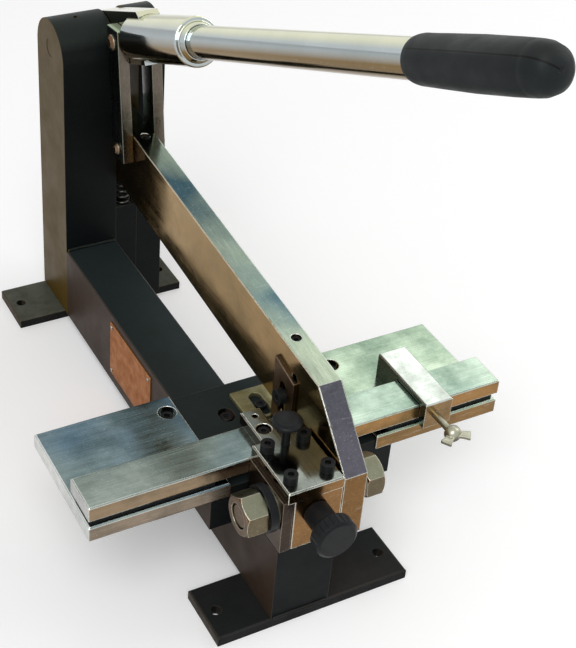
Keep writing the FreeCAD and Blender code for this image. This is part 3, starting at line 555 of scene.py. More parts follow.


# Colours are linear red, green and blue. The main colours of the bare ground
# steels (arm, head, link, table and fence) are the painted reflections that
# their top faces show, and the tints given for sides, fronts, slopes,
# undersides and crowns are painted reflections and shade.
FINISHES: Dict[str, Finish] = {made.name: made for made in (
    Finish("frame_paint", (0.013, 0.0185, 0.016), (0.6, 0.62, 0.6),
           (0.09, 0.075, 0.05), 0.36, spread=0.14, metal=0.0,
           painted_reflections=PaintedReflections(side=(0.076, 0.045, 0.005),
                       front=(0.0045, 0.006, 0.0065)), edge_wear_and_highlight_share=0.4,
           bump=0.06, shine=0.10, patches=26.0, stained=0.3),
    Finish("beam_paint", (0.015, 0.0215, 0.0215), (0.6, 0.62, 0.6),
           (0.10, 0.10, 0.085), 0.42, spread=0.14, metal=0.0,
           painted_reflections=PaintedReflections(side=(0.042, 0.026, 0.018),
                       front=(0.002, 0.003, 0.0035)), edge_wear_and_highlight_share=0.4,
           bump=0.08, shine=0.10, patches=26.0, stained=0.4),
    Finish("foot_paint", (0.074, 0.078, 0.058), (0.45, 0.45, 0.45),
           (0.16, 0.14, 0.10), 0.5, spread=0.2, metal=0.0,
           painted_reflections=PaintedReflections(side=(0.05, 0.036, 0.02), front=(0.006, 0.006, 0.006)),
           edge=0.001, bump=0.35, shine=0.12, patches=70.0),
    Finish("front_foot_paint", (0.0155, 0.0175, 0.0175), (0.6, 0.55, 0.5),
           (0.08, 0.075, 0.065), 0.42, spread=0.2, metal=0.0,
           painted_reflections=PaintedReflections(side=(0.03, 0.022, 0.014),
                       front=(0.003, 0.0035, 0.0035)), edge=0.001,
           edge_wear_and_highlight_share=0.4, bump=0.25, shine=0.12, patches=60.0,
           shift=(0.030, 0.026, 0.023)),
    Finish("arm_steel", (0.045, 0.10, 0.125), (0.55, 0.62, 0.60),
           (0.80, 0.84, 0.76), 0.09, spread=0.13,
           painted_reflections=PaintedReflections(side=(0.35, 0.21, 0.065), front=(0.21, 0.108, 0.036),
                       slope=(0.12, 0.115, 0.14)), edge=0.0012,
           edge_wear_and_highlight_share=0.95, bump=0.04, grain=Grain.ALONG, scratches=0.08,
           patches=18.0, shift=(0.47, 0.54, 0.40)),
    Finish("head_steel", (0.13, 0.145, 0.125), (0.50, 0.55, 0.52),
           (0.80, 0.83, 0.74), 0.07,
           painted_reflections=PaintedReflections(side=(0.12, 0.072, 0.042), front=(0.26, 0.135, 0.05)),
           edge=0.0012, edge_wear_and_highlight_share=0.95, grain=Grain.ALONG, scratches=0.08,
           patches=34.0, shift=(0.24, 0.26, 0.23)),
    Finish("side_steel", (0.10, 0.08, 0.06), (0.5, 0.48, 0.45),
           (0.45, 0.38, 0.28), 0.24,
           painted_reflections=PaintedReflections(side=(0.075, 0.044, 0.028), front=(0.05, 0.034, 0.026)),
           edge_wear_and_highlight_share=0.6, bump=0.08, grain=Grain.UPRIGHT, scratches=0.06),
    Finish("link_steel", (0.36, 0.46, 0.30), (0.55, 0.6, 0.58),
           (0.6, 0.6, 0.5), 0.2, spread=0.14,
           painted_reflections=PaintedReflections(side=(0.045, 0.05, 0.045), front=(0.15, 0.125, 0.10)),
           edge_wear_and_highlight_share=0.6, bump=0.06, grain=Grain.UPRIGHT, scratches=0.05,
           stained=0.4),
    Finish("table_steel", (0.10, 0.18, 0.25), (0.42, 0.50, 0.50),
           (0.80, 0.83, 0.80), 0.12, spread=0.18,
           painted_reflections=PaintedReflections(side=(0.66, 0.66, 0.63), front=(0.30, 0.235, 0.175)),
           edge=0.0011, edge_wear_and_highlight_share=0.9, grain=Grain.ACROSS, scratches=0.14,
           stained=0.75, shift=(0.24, 0.30, 0.28)),
    # A copy of the table steel for the right-hand table, with the brighter
    # painted reflection that it shows.
    Finish("right_table_steel_painted_reflection", (0.155, 0.24, 0.175), (0.38, 0.48, 0.43),
           (0.85, 0.87, 0.80), 0.15, spread=0.18,
           painted_reflections=PaintedReflections(side=(0.30, 0.24, 0.16), front=(0.29, 0.165, 0.065)),
           edge=0.0011, edge_wear_and_highlight_share=0.8, grain=Grain.ACROSS, scratches=0.12,
           stained=0.75, shift=(0.46, 0.56, 0.42)),
    Finish("fence_steel", (0.15, 0.215, 0.22), (0.45, 0.52, 0.52),
           (0.80, 0.83, 0.80), 0.13,
           painted_reflections=PaintedReflections(side=(0.42, 0.42, 0.40), front=(0.30, 0.215, 0.135)),
           edge=0.0011, edge_wear_and_highlight_share=0.9, grain=Grain.ACROSS, scratches=0.12,
           stained=0.75, shift=(0.30, 0.35, 0.31)),
    # A copy of the fence steel for the right-hand fence, with the brighter
    # painted reflection that it shows.
    Finish("right_fence_steel_painted_reflection", (0.15, 0.245, 0.20), (0.38, 0.48, 0.43),
           (0.85, 0.87, 0.80), 0.14,
           painted_reflections=PaintedReflections(side=(0.30, 0.22, 0.13), front=(0.33, 0.18, 0.065)),
           edge=0.0011, edge_wear_and_highlight_share=0.8, grain=Grain.ACROSS, scratches=0.12,
           stained=0.8, shift=(0.46, 0.56, 0.45)),
    Finish("bright_steel", (0.66, 0.70, 0.65), (0.50, 0.55, 0.49),
           (0.9, 0.9, 0.86), 0.18, spread=0.14,
           painted_reflections=PaintedReflections(side=(0.12, 0.135, 0.13), front=(0.30, 0.185, 0.085)),
           edge=0.0009, edge_wear_and_highlight_share=0.6, bump=0.06, grain=Grain.ACROSS,
           scratches=0.06, patches=40.0, stained=0.85),
    Finish("blade_steel", (0.15, 0.12, 0.09), (0.5, 0.46, 0.42),
           (0.42, 0.34, 0.24), 0.28,
           painted_reflections=PaintedReflections(side=(0.16, 0.092, 0.045), front=(0.10, 0.07, 0.045)),
           edge=0.0006, bump=0.08, grain=Grain.UPRIGHT, scratches=0.06,
           patches=60.0),
    Finish("black_steel", (0.0075, 0.0085, 0.0095), (0.6, 0.6, 0.6),
           (0.12, 0.105, 0.09), 0.36, metal=0.0, edge=0.0004, edge_wear_and_highlight_share=0.4,
           bump=0.15, shine=0.14, patches=110.0),
    Finish("zinc", (0.21, 0.215, 0.155), (0.6, 0.58, 0.5), (0.70, 0.68, 0.55),
           0.26,
           painted_reflections=PaintedReflections(side=(0.19, 0.098, 0.052), front=(0.17, 0.16, 0.105),
                       under=(0.12, 0.08, 0.045)), edge_wear_and_highlight_share=0.7, bump=0.12,
           patches=90.0),
    Finish("wing_zinc", (0.42, 0.42, 0.33), (0.6, 0.58, 0.5),
           (0.75, 0.75, 0.66), 0.28, painted_reflections=PaintedReflections(under=(0.13, 0.11, 0.075)),
           edge=0.0005, bump=0.2, patches=120.0),
    Finish("spring_steel", (0.10, 0.10, 0.095), (0.5, 0.5, 0.5),
           (0.35, 0.35, 0.33), 0.35, spread=0.1, edge=0.0002, edge_wear_and_highlight_share=0.2,
           bump=0.1, patches=120.0),
    Finish("brass", (0.27, 0.25, 0.13), (0.6, 0.55, 0.45), (0.50, 0.46, 0.28),
           0.46, spread=0.14, metal=0.8, edge=0.0006, bump=0.1, shine=0.2,
           grain=Grain.ACROSS, scratches=0.08, patches=70.0),
    Finish("plate_copper", (0.37, 0.155, 0.046), (0.5, 0.4, 0.3),
           (0.62, 0.36, 0.16), 0.44, spread=0.18, metal=0.7,
           painted_reflections=PaintedReflections(side=(0.40, 0.145, 0.035)), edge=0.0006, edge_wear_and_highlight_share=0.6,
           bump=0.14, shine=0.2, grain=Grain.ALONG, scratches=0.10,
           patches=110.0),
    Finish("black_plastic", (0.0085, 0.0095, 0.0105), (0.6, 0.6, 0.6),
           (0.05, 0.05, 0.048), 0.3, spread=0.18, metal=0.0, edge=0.0004,
           edge_wear_and_highlight_share=0.3, bump=0.12, shine=0.14, patches=120.0),
    # The chrome's yellowish crown tint is a painted reflection on top, and its
    # brown under tint a painted reflection underneath.
    Finish("chrome", (0.44, 0.49, 0.50), (0.75, 0.75, 0.72),
           (0.85, 0.85, 0.82), 0.07, spread=0.07,
           painted_reflections=PaintedReflections(crown=(0.69, 0.70, 0.50), under=(0.205, 0.13, 0.042)),
           edge=0.0006, bump=0.03, patches=24.0, stained=0.3),
    Finish("rubber", (0.0125, 0.0155, 0.0165), (0.75, 0.75, 0.75),
           (0.04, 0.04, 0.04), 0.42, spread=0.14, metal=0.0,
           painted_reflections=PaintedReflections(crown=(0.018, 0.0215, 0.0205)), edge_wear_and_highlight_share=0.2,
           bump=0.4, shine=0.12, patches=50.0,
           seam=Seam((-0.54464, -0.33294, -0.76975), -0.298412,
                     (-0.83867, 0.21622, 0.49988), 0.167559)),
)}

# Nodes whose finish differs from the one their material slot names.
WEARS: Dict[str, str] = {
    "stop_slider": "bright_steel", "lever_bar": "chrome",
    "beam": "beam_paint", "front_foot": "front_foot_paint",
    "head_top_plate": "head_steel", "head_block": "head_steel",
    "head_side_plate": "side_steel", "blade": "blade_steel",
    "link_left": "link_steel", "link_right": "link_steel",
    "right_table_plate": "right_table_steel_painted_reflection", "wing_screw": "wing_zinc",
    "right_fence": "right_fence_steel_painted_reflection", "die_block": "beam_paint",
    "left_fence_spacer": "black_steel", "right_fence_spacer": "black_steel",
}


class Workshop:
    """Builds the finishes once and hands them out."""

    def __init__(self) -> None:
        """Make the shared groups and every finish."""
        groups = {"grinding": SurfaceEffects.grinding(),
                  "edge_wear_and_highlight": SurfaceEffects.edge_wear_and_highlight(),
                  "facing": SurfaceEffects.facing(),
                  "dust": SurfaceEffects.dust()}
        self.materials = {name: finish.build(groups)
                          for name, finish in FINISHES.items()}

    def dress(self, piece: Piece, finish: str) -> None:
        """Give a piece one finish all over."""
        piece.data.materials.clear()
        piece.data.materials.append(self.materials[finish])

    def dress_frame(self) -> None:
        """Give each CAD node the finish of its own material slot."""
        for part in frame["record"]["subparts"]:
            finish = WEARS.get(part["node"], part["material_slot"])
            self.dress(frame["nodes"][part["node"]], finish)
            LOG.info("dressed %s in %s", part["node"], finish)

    def deliver(self, piece: Piece, finish: str, slot: str, body: str,
                *nodes: str) -> None:
        """Give a new piece its finish, its body and the nodes it stands for.

        Args:
            piece: the new piece.
            finish: its finish by name.
            slot: the record's material slot; not used.
            body: the body that it rides on.
            nodes: the CAD nodes that it stands for.
        """
        self.dress(piece, finish)
        if nodes:
            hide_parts(*nodes)
        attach(piece, body)
        LOG.info("made %s", piece.name)


class Bench:
    """Edit-mode moves that shape a mesh as by hand."""

    @staticmethod
    def clear() -> None:
        """Leave edit mode and deselect everything."""
        if bpy.context.object and bpy.context.object.mode != "OBJECT":
            bpy.ops.object.mode_set(mode="OBJECT")
        bpy.ops.object.select_all(action="DESELECT")

    @classmethod
    def pick(cls, piece: Piece) -> None:
        """Select one piece alone and make it the active one.

        Args:
            piece: the piece.
        """
        cls.clear()
        piece.select_set(True)
        bpy.context.view_layer.objects.active = piece

    @staticmethod
    def edit() -> None:
        """Go into edit mode with everything selected."""
        bpy.ops.object.mode_set(mode="EDIT")
        bpy.ops.mesh.select_all(action="SELECT")

    @staticmethod
    def leave() -> None:
        """Go back to object mode."""
        bpy.ops.object.mode_set(mode="OBJECT")

    @classmethod
    def close(cls) -> None:
        """Turn all faces outwards and go back to object mode."""
        bpy.ops.mesh.select_all(action="SELECT")
        bpy.ops.mesh.normals_make_consistent(inside=False)
        cls.leave()

    @classmethod
    def cube(cls, name: str) -> Piece:
        """Start a piece from a cube of one metre on the origin.

        Args:
            name: the piece's name.

        Returns:
            The cube.
        """
        cls.clear()
        bpy.ops.mesh.primitive_cube_add(size=1.0, location=(0, 0, 0))
        bpy.context.object.name = name
        return bpy.context.object

    @classmethod
    def rod(cls, name: str, sides: int, radius: float, depth: float,
            place: Point = (0.0, 0.0, 0.0)) -> Piece:
        """Start a piece from an upright rod with closed ends.

        Args:
            name: the piece's name.
            sides: how many faces it has round it.
            radius: its radius.
            depth: its length.
            place: its middle.

        Returns:
            The rod.
        """
        cls.clear()
        bpy.ops.mesh.primitive_cylinder_add(
            vertices=sides, radius=radius, depth=depth, location=place)
        bpy.context.object.name = name
        return bpy.context.object

    @classmethod
    def lathe(cls, name: str, profile: Sequence[Span],
              sides: int = 48) -> Piece:
        """Turn a closed round piece from a ring that is extruded and resized.

        Args:
            name: the new object's name.
            profile: (radius, height) pairs from one end to the other, metres.
            sides: how many faces the piece has round it.

        Returns:
            The turned object, upright on the origin.
        """
        cls.clear()
        radius, height = profile[0]
        bpy.ops.mesh.primitive_circle_add(
            vertices=sides, radius=radius, fill_type="NGON",
            location=(0, 0, height))
        piece = bpy.context.object
        piece.name = name
        bpy.ops.object.transform_apply(location=True, rotation=True,
                                       scale=True)
        cls.edit()
        for (r0, z0), (r1, z1) in zip(profile, profile[1:]):
            bpy.ops.mesh.extrude_region_move(
                TRANSFORM_OT_translate={"value": (0, 0, z1 - z0)})
            bpy.ops.transform.resize(value=(r1 / r0, r1 / r0, 1.0),
                                     center_override=(0, 0, z1))
        cls.close()
        return piece

    @classmethod
    def apply_all(cls, piece: Piece) -> None:
        """Apply every modifier of a piece.

        Args:
            piece: the piece.
        """
        cls.pick(piece)
        for modifier in list(piece.modifiers):
            bpy.ops.object.modifier_apply(modifier=modifier.name)

    @staticmethod
    def soften(piece: Piece, levels: int) -> None:
        """Add a subdivision surface, not applied yet.

        Args:
            piece: the piece.
            levels: how many times its faces are split.
        """
        soft = piece.modifiers.new("round", "SUBSURF")
        soft.levels = levels
        soft.render_levels = levels

    @classmethod
    def cut(cls, piece: Piece, tool: Piece) -> None:
        """Cut a closed tool out of a piece and throw the tool away.

        Args:
            piece: the piece that is cut.
            tool: the closed piece that is taken out of it.
        """
        taken = piece.modifiers.new("cut", "BOOLEAN")
        taken.operation = "DIFFERENCE"
        taken.solver = "EXACT"
        taken.object = tool
        cls.apply_all(piece)
        bpy.data.objects.remove(tool, do_unlink=True)

    @classmethod
    def smooth(cls, piece: Piece, degrees: float) -> None:
        """Shade a piece smooth except across its sharp edges."""
        cls.pick(piece)
        bpy.ops.object.shade_smooth_by_angle(angle=math.radians(degrees))

    @classmethod
    def join(cls, name: str, pieces: Sequence[Piece],
             merge: float = 0.00003) -> Piece:
        """Join pieces into one mesh and merge the points that meet.

        Args:
            name: the joined piece's name.
            pieces: the pieces, of which the first takes in the rest.
            merge: how near two points are that become one.

        Returns:
            The joined piece.
        """
        cls.clear()
        for piece in pieces:
            piece.select_set(True)
        bpy.context.view_layer.objects.active = pieces[0]
        bpy.ops.object.join()
        made = bpy.context.object
        made.name = name
        cls.edit()
        bpy.ops.mesh.remove_doubles(threshold=merge)
        cls.close()
        return made

    @staticmethod
    def lay(piece: Piece, matrix: Matrix) -> None:
        """Carry a mesh to its place, leaving its object at the origin."""
        piece.data.transform(matrix)
        piece.matrix_world = Matrix.Identity(4)


@dataclass(frozen=True)
class ReturnSpring:
    """The coil under the arm, wound at one fixed height, though the real coil
    flattens as the arm comes down.
    """

    coil_radius: float = 0.007
    wire: float = 0.002
    low: float = 0.095
    high: float = 0.1516
    turns: int = 10
    closed_pitch: float = 0.0026
    place: Span = (0.022, 0.189)
    keep: float = 0.508
    wire_sides: int = 12
    steps: int = 32

    def build(self, workshop: Workshop) -> None:
        """Wind the coil in three runs and join them.

        Args:
            workshop: the finishes, which dress what is built.
        """
        start = self.low + self.wire / 2
        stop = self.high - self.wire / 2
        pitch = (stop - start - 2 * self.closed_pitch) / (self.turns - 2)
        coil = Bench.join("return_spring_coil", [
            self._run(start, self.closed_pitch, 1),
            self._run(start + self.closed_pitch, pitch, self.turns - 2),
            self._run(stop - self.closed_pitch, self.closed_pitch, 1)])
        Bench.edit()
        bpy.ops.mesh.select_all(action="DESELECT")
        bpy.ops.mesh.select_mode(type="EDGE")
        bpy.ops.mesh.select_non_manifold()
        bpy.ops.mesh.fill()
        Bench.close()
        Bench.smooth(coil, 50.0)
        Bench.lay(coil, Matrix.Translation((*self.place, 0.0)))
        workshop.deliver(coil, "spring_steel", "spring_steel", "frame_body",
                         "return_spring")
        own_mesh(coil)

    def _run(self, height: float, pitch: float, turns: int) -> Piece:
        """Wind some turns of one pitch from a ring of wire.

        Args:
            height: where the run starts.
            pitch: how far it climbs in a turn.
            turns: how many turns it has.

        Returns:
            The run, open at both ends.
        """
        Bench.clear()
        bpy.ops.mesh.primitive_circle_add(
            vertices=self.wire_sides, radius=self.wire / 2,
            location=(self.coil_radius, 0, height),
            rotation=(math.pi / 2, 0, 0))
        ring = bpy.context.object
        bpy.ops.object.transform_apply(location=True, rotation=True,
                                       scale=True)
        screw = ring.modifiers.new("wind", "SCREW")
        screw.angle = 2 * math.pi
        screw.screw_offset = pitch
        screw.iterations = turns
        screw.steps = self.steps
        screw.render_steps = self.steps
        Bench.apply_all(ring)
        return ring


@dataclass(frozen=True)
class HandLever:
    """Chromed socket and tube with a rubber grip, all on one sloping line.

    Profiles give (radius, distance along the line) from one end to the other.
    The grip's distances start at its own end.
    """

    axis: Point = (0.022, 0.210, 0.280)
    tilt: float = 23.39
    rise: float = 0.00117
    sides: int = 96
    socket_profile: Profile = (
        (0.0196, 0.0640), (0.0202, 0.0646), (0.0202, 0.1805),
        (0.0197, 0.1813), (0.0190, 0.1817), (0.0170, 0.1817),
        (0.0164, 0.1822), (0.0147, 0.1867), (0.0143, 0.1873),
        (0.0135, 0.1873), (0.0135, 0.1857))
    tube_profile: Profile = (
        (0.0132, 0.1673), (0.0132, 0.4000), (0.0132, 0.6180))
    grip_start: float = 0.500
    grip_profile: Profile = (
        (0.0136, 0.0006), (0.0147, 0.0), (0.0152, 0.0022), (0.0157, 0.0060),
        (0.0162, 0.030), (0.0167, 0.060), (0.0163, 0.095), (0.0158, 0.1115),
        (0.0155, 0.1128), (0.0157, 0.1140), (0.0153, 0.1190),
        (0.0133, 0.1256), (0.0095, 0.1292), (0.0045, 0.1306),
        (0.0020, 0.1309), (0.0016, 0.1303))
    grip_rings: Tuple[float, ...] = (0.022, 0.048, 0.078)
    flat_turn: float = 70.0
    flat_span: Span = (0.02, 0.10)
    flat_reach: float = 0.0125
    flat_depth: float = 0.45

    def build(self, workshop: Workshop) -> None:
        """Make and dress the socket, the tube and the grip.

        Args:
            workshop: the finishes, which dress what is built.
        """
        socket = Bench.lathe("handle_socket_turned", self.socket_profile,
                             self.sides)
        tube = Bench.lathe("handle_tube_drawn", self.tube_profile, self.sides)
        for piece, node in ((socket, "handle_socket"), (tube, "handle_tube")):
            Bench.smooth(piece, 28.0)
            Bench.lay(piece, self._line())
            workshop.deliver(piece, "chrome", "chrome", "lever_body", node)
        grip = self._grip()
        Bench.smooth(grip, 40.0)
        Bench.lay(grip, self._line())
        workshop.deliver(grip, "rubber", "rubber", "lever_body", "grip")

    def _line(self) -> Matrix:
        """Find how an upright piece is laid on the handle line.

        Returns:
            The matrix that lays it there.
        """
        lean = math.radians(self.tilt)
        along = Vector((0, -math.cos(lean), math.sin(lean)))
        over = Vector((0, math.sin(lean), math.cos(lean)))
        turn = Matrix((Vector((1, 0, 0)), over, along)).transposed().to_4x4()
        return Matrix.Translation(Vector(self.axis) + over * self.rise) @ turn

    def _grip(self) -> Piece:
        """Turn the grip and press the thumb's flat into its upper side.

        Returns:
            The grip, still upright.
        """
        grip = Bench.lathe("grip_moulded", [
            (r, self.grip_start + z) for r, z in self.grip_profile],
            self.sides)
        Bench.pick(grip)
        for place in self.grip_rings:
            Bench.edit()
            bpy.ops.mesh.bisect(plane_co=(0, 0, self.grip_start + place),
                                plane_no=(0, 0, 1))
            Bench.leave()
        lean = math.radians(self.flat_turn)
        side = Vector((-math.cos(lean), math.sin(lean), 0.0))
        for point in grip.data.vertices:
            far = point.co.z - self.grip_start
            over = point.co.dot(side) - self.flat_reach
            if self.flat_span[0] < far < self.flat_span[1] and over > 0.0:
                point.co -= side * over * self.flat_depth
        return grip


@dataclass(frozen=True)
class PullLinks:
    """Two square-ended bars between the lever and the arm."""

    upper: Span = (0.1655, 0.2990)
    lower: Span = (0.1525, 0.2010)
    over: float = 0.0125
    under: float = 0.0110
    half: float = 0.0115
    thick: float = 0.010
    ease: float = 0.0007
    insides: Tuple[Tuple[str, float], ...] = (("link_left", 0.0017),
                                              ("link_right", 0.0323))

    def build(self, workshop: Workshop) -> None:
        """Make both bars from a block that is stretched and bevelled.

        Args:
            workshop: the finishes, which dress what is built.
        """
        run = Vector((0, self.upper[0] - self.lower[0],
                      self.upper[1] - self.lower[1]))
        turn = Matrix.Rotation(-math.atan2(run.y, run.z), 4, "X")
        rise = (self.over - self.under + run.length) / 2
        for node, left in self.insides:
            bar = Bench.cube(node + "_bar")
            Bench.edit()
            bpy.ops.transform.resize(value=(
                self.thick, self.half * 2,
                run.length + self.over + self.under))
            bpy.ops.mesh.bevel(offset=self.ease, segments=3, affect="EDGES")
            Bench.leave()
            Bench.smooth(bar, 35.0)
            place = Matrix.Translation((left + self.thick / 2, *self.lower))
            Bench.lay(bar, place @ turn @ Matrix.Translation((0, 0, rise)))
            workshop.deliver(bar, "link_steel", "frame_paint", "link_body",
                             node)


@dataclass(frozen=True)
class WingScrew:
    """The cast wing screw that locks the stop.

    The profile gives (radius, distance ahead of the origin).
    """

    place: Span = (0.1225, 0.1255)
    profile: Profile = (
        (0.0030, 0.1898), (0.0030, 0.2166), (0.0038, 0.2172),
        (0.0056, 0.2172), (0.0064, 0.2184), (0.0068, 0.2215),
        (0.0060, 0.2246), (0.0042, 0.2262), (0.0016, 0.2268))
    wing_size: Point = (0.0104, 0.0070, 0.0030)
    wing_tip: Point = (1.0, 1.5, 1.15)
    wing_end: float = 0.005
    wing_root: float = 0.0088
    wing_y: float = -0.2212
    spread: float = 34.0

    def build(self, workshop: Workshop) -> None:
        """Turn the shaft and hub, shape a wing, and join them.

        Args:
            workshop: the finishes, which dress what is built.
        """
        turned = Bench.lathe("wing_screw_cast", self.profile, 40)
        lay = Matrix.Translation((self.place[0], 0, self.place[1]))
        Bench.lay(turned, lay @ Matrix.Rotation(math.radians(90), 4, "X"))
        screw = Bench.join("wing_screw_cast",
                           [turned, self._wing(-1), self._wing(1)], 0.000001)
        Bench.smooth(screw, 45.0)
        workshop.deliver(screw, "wing_zinc", "zinc", "wing_body",
                         "wing_screw")

    def _wing(self, side: int) -> Piece:
        """Shape one rounded wing that grows wider towards its end.

        Args:
            side: 1 for the right wing and -1 for the left one.

        Returns:
            The wing in its place.
        """
        wing = Bench.cube("wing")
        Bench.edit()
        bpy.ops.transform.resize(value=self.wing_size)
        bpy.ops.mesh.subdivide(number_cuts=2)
        bpy.ops.mesh.select_all(action="DESELECT")
        Bench.leave()
        for face in wing.data.polygons:
            face.select = face.center.x > self.wing_end
        bpy.ops.object.mode_set(mode="EDIT")
        bpy.ops.transform.resize(value=self.wing_tip,
                                 center_override=(self.wing_end, 0, 0))
        Bench.leave()
        Bench.soften(wing, 3)
        Bench.apply_all(wing)
        at = Matrix.Translation((self.place[0], self.wing_y, self.place[1]))
        flip = Matrix.Diagonal((side, 1, 1, 1))
        turn = Matrix.Rotation(math.radians(-self.spread), 4, "Z")
        out = Matrix.Translation((self.wing_root, 0, 0))
        Bench.lay(wing, at @ flip @ turn @ out)
        if side < 0:
            Bench.pick(wing)
            Bench.edit()
            Bench.close()
        return wing


@dataclass(frozen=True)
class DepthGauge:
    """The brass plate behind the blade, with its round-ended slot."""

    low: Point = (-0.0075, -0.1325, 0.1087)
    high: Point = (0.0225, -0.096, 0.1127)
    slot_x: float = 0.0095
    slot_half: float = 0.0054
    slot: Span = (-0.1245, -0.1080)
    tool_z: float = 0.1117
    tool_depth: float = 0.01
    ease: float = 0.0004

    def build(self, workshop: Workshop) -> None:
        """Make the plate from a block and cut its slot.

        Args:
            workshop: the finishes, which dress what is built.
        """
        plate = Bench.cube("gauge_plate_slotted")
        low, high = Vector(self.low), Vector(self.high)
        plate.data.transform(Matrix.Translation((low + high) / 2)
                             @ Matrix.Diagonal((*(high - low), 1.0)))
        tools = [Bench.rod("slot_end", 40, self.slot_half, self.tool_depth,
                           (self.slot_x, place, self.tool_z))
                 for place in self.slot]
        bar = Bench.cube("slot_middle")
        bar.data.transform(Matrix.Translation(
            (self.slot_x, sum(self.slot) / 2, self.tool_z))
            @ Matrix.Diagonal((self.slot_half * 2,
                               self.slot[1] - self.slot[0],
                               self.tool_depth, 1.0)))
        for tool in (*tools, bar):
            Bench.cut(plate, tool)
        eased = plate.modifiers.new("ease", "BEVEL")
        eased.width = self.ease
        eased.segments = 2
        eased.limit_method = "ANGLE"
        Bench.apply_all(plate)
        Bench.smooth(plate, 30.0)
        workshop.deliver(plate, "brass", "brass", "gauge_body",
                         "gauge_plate")


@dataclass(frozen=True)
class KeyScrew:
    """A round screw head with a sunk six-sided key hole."""

    name: str
    node: str
    place: Span
    radius: float
    low: float
    top: float
    key: float
    ease: float = 0.0005
    key_depth: float = 0.004

    def build(self, workshop: Workshop) -> None:
        """Turn the screw's head and sink its key hole.

        Args:
            workshop: the finishes, which dress what is built.
        """
        head = Bench.lathe(self.name, (
            (self.radius, self.low), (self.radius, self.top - self.ease),
            (self.radius - self.ease, self.top)), 40)
        Bench.cut(head, Bench.rod("key", 6, self.key, self.key_depth,
                                  (0, 0, self.top)))
        Bench.smooth(head, 30.0)
        Bench.lay(head, Matrix.Translation((*self.place, 0)))
        workshop.deliver(head, "black_steel", "black_steel", "frame_body",
                         self.node)


KEY_SCREWS: Tuple[KeyScrew, ...] = (
    KeyScrew("gauge_screw_head", "gauge_screw", (0.0095, -0.1174),
             0.0046, 0.11, 0.1139, 0.0024),
    KeyScrew("die_block_screw_head", "die_block_screw", (-0.019, -0.1142),
             0.0052, 0.1028, 0.1078, 0.0027),
)


@dataclass(frozen=True)
class WeldBead:
    """A lumpy weld run between two points."""

    name: str
    finish: str
    slot: str
    first: Point
    second: Point
    radius: float
    sides: int = 12
    sections: int = 24
    lump_size: float = 1.6
    lump_height: float = 0.9

    def build(self, workshop: Workshop) -> None:
        """Lay a rod between the points and lump it by noise.

        Args:
            workshop: the finishes, which dress what is built.
        """
        start, stop = Vector(self.first), Vector(self.second)
        run = stop - start
        bead = Bench.rod(self.name, self.sides, self.radius, run.length)
        Bench.edit()
        for cut in range(1, self.sections):
            bpy.ops.mesh.select_all(action="SELECT")
            bpy.ops.mesh.bisect(
                plane_co=(0, 0, run.length * (cut / self.sections - 0.5)),
                plane_no=(0, 0, 1))
        Bench.leave()
        lumps = bpy.data.textures.new(self.name + "_lumps", "CLOUDS")
        lumps.noise_scale = self.radius * self.lump_size
        swell = bead.modifiers.new("lumps", "DISPLACE")
        swell.texture = lumps
        swell.strength = self.radius * self.lump_height
        swell.mid_level = 0.5
        Bench.soften(bead, 1)
        Bench.apply_all(bead)
        Bench.smooth(bead, 80.0)
        turn = run.to_track_quat("Z", "Y").to_matrix().to_4x4()
        Bench.lay(bead, Matrix.Translation((start + stop) / 2) @ turn)
        workshop.deliver(bead, self.finish, self.slot, "frame_body")


BEADS: Tuple[WeldBead, ...] = (
    WeldBead("column_weld", "frame_paint", "frame_paint",
             (-0.0375, 0.1782, 0.0842), (0.0105, 0.1782, 0.0842), 0.0017),
    WeldBead("front_foot_weld", "front_foot_paint", "foot_paint",
             (-0.0375, -0.2402, 0.0098), (0.0105, -0.2402, 0.0098), 0.0016),
)


@dataclass(frozen=True)
class Lamp:
    """A square soft lamp."""

    name: str
    place: Point
    size: float
    power: float

    def hang(self, target: Vector) -> None:
        """Hang the lamp in its place and aim it.

        Args:
            target: the point that it is aimed at.
        """
        data = bpy.data.lights.new(self.name, "AREA")
        data.size = self.size
        data.energy = self.power
        lamp = bpy.data.objects.new(self.name, data)
        lamp.location = self.place
        aim = target - Vector(self.place)
        lamp.rotation_euler = aim.to_track_quat("-Z", "Y").to_euler()
        bpy.context.scene.collection.objects.link(lamp)


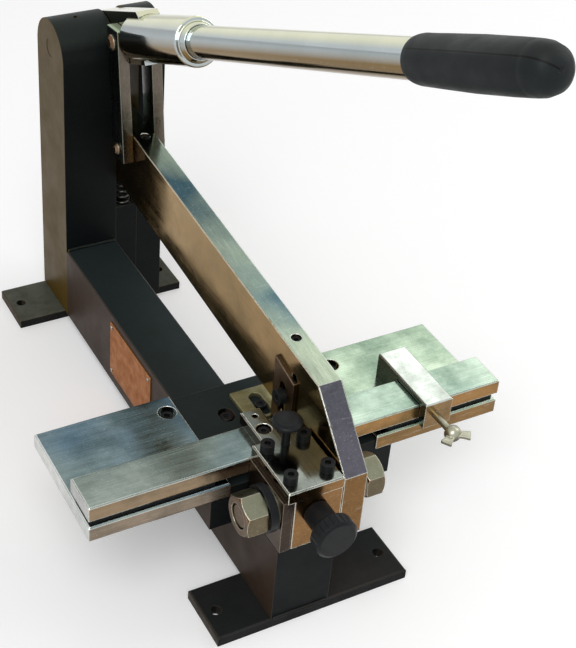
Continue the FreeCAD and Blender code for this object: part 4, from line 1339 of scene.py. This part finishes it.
@dataclass(frozen=True)
class Studio:
    """Floor, light and camera, solved from the photograph in its pixels."""

    focal: float = 1450.286
    azimuth: float = -30.827
    elevation: float = 35.653
    roll: float = 4.724
    centre: Span = (271.55, 280.10)
    picture: Span = (576.0, 648.0)
    sensor: float = 36.0
    place: Point = (-0.44155, -0.87440, 0.86674)
    target: Point = (0.0, 0.0, 0.15)
    floor_size: float = 12.0
    floor_grey: float = 0.93
    floor_glow: float = 0.16
    soft_light: float = 0.5
    lamps: Tuple[Lamp, ...] = (
        Lamp("key", (-1.2, -1.6, 2.4), 1.8, 42.0),
        Lamp("side", (2.2, -0.4, 1.8), 1.4, 16.0),
        Lamp("panel", (1.65, 1.35, 1.75), 1.1, 3.5))

    def build(self) -> None:
        """Set the camera, the floor, the lamps and the world."""
        self._camera()
        self._floor()
        for lamp in self.lamps:
            lamp.hang(Vector(self.target))
        self._world()
        bpy.context.scene.view_settings.view_transform = "Standard"

    def _camera(self) -> None:
        """Stand the camera where the photograph was taken."""
        a, e, r = (math.radians(v) for v in (self.azimuth, self.elevation,
                                             self.roll))
        back = Vector((math.sin(a) * math.cos(e), -math.cos(a) * math.cos(e),
                       math.sin(e)))
        right = Vector((0, 0, 1)).cross(back).normalized()
        up = back.cross(right)
        across = right * math.cos(r) + up * math.sin(r)
        high = up * math.cos(r) - right * math.sin(r)
        wide, tall = self.picture
        data = bpy.data.cameras.new("camera")
        data.sensor_width = self.sensor
        data.lens = self.focal * self.sensor / tall
        data.shift_x = (wide / 2 - self.centre[0]) / tall
        data.shift_y = (self.centre[1] - tall / 2) / tall
        data.clip_end = 20.0
        camera = bpy.data.objects.new("camera", data)
        bpy.context.scene.collection.objects.link(camera)
        turn = Matrix((across, high, back)).transposed().to_4x4()
        camera.matrix_world = Matrix.Translation(self.place) @ turn
        bpy.context.scene.camera = camera

    def _floor(self) -> None:
        """Lay a plain pale floor that keeps the shadow."""
        bpy.ops.mesh.primitive_plane_add(size=self.floor_size,
                                         location=(0, 0, 0))
        floor = bpy.context.object
        floor.name = "floor"
        made = bpy.data.materials.new("floor")
        made.use_nodes = True
        tree = made.node_tree
        glow = Tool.maths(tree, "MULTIPLY", Tool.unlit(tree), self.floor_glow)
        shader = tree.nodes["Principled BSDF"]
        for name, value in (("Base Color", (self.floor_grey,) * 3),
                            ("Roughness", 0.8), ("Specular IOR Level", 0.1),
                            ("Emission Color", WHITE),
                            ("Emission Strength", glow)):
            Tool.feed(tree, value, shader.inputs[name])
        floor.data.materials.append(made)

    def _world(self) -> None:
        """Give a pale surround that is whiter to the eye and in gloss."""
        world = bpy.data.worlds.new("studio")
        bpy.context.scene.world = world
        world.use_nodes = True
        tree = world.node_tree
        tree.nodes.clear()
        soft, white = (
            Tool.add(tree, "ShaderNodeBackground",
                     {"Color": WHITE, "Strength": strength}).outputs[0]
            for strength in (self.soft_light, 1.0))
        mix = Tool.add(tree, "ShaderNodeMixShader",
                       {0: Tool.unlit(tree), 1: soft, 2: white})
        Tool.add(tree, "ShaderNodeOutputWorld", {0: mix.outputs[0]})


def main() -> None:
    """Build the studio and dress the object, reporting each piece."""
    logging.basicConfig(level=logging.INFO, format="%(message)s")
    Studio().build()
    workshop = Workshop()
    workshop.dress_frame()
    for piece in (ReturnSpring(), HandLever(), PullLinks(), WingScrew(),
                  DepthGauge(), *KEY_SCREWS, *BEADS):
        piece.build(workshop)


if __name__ == "__main__":
    main()
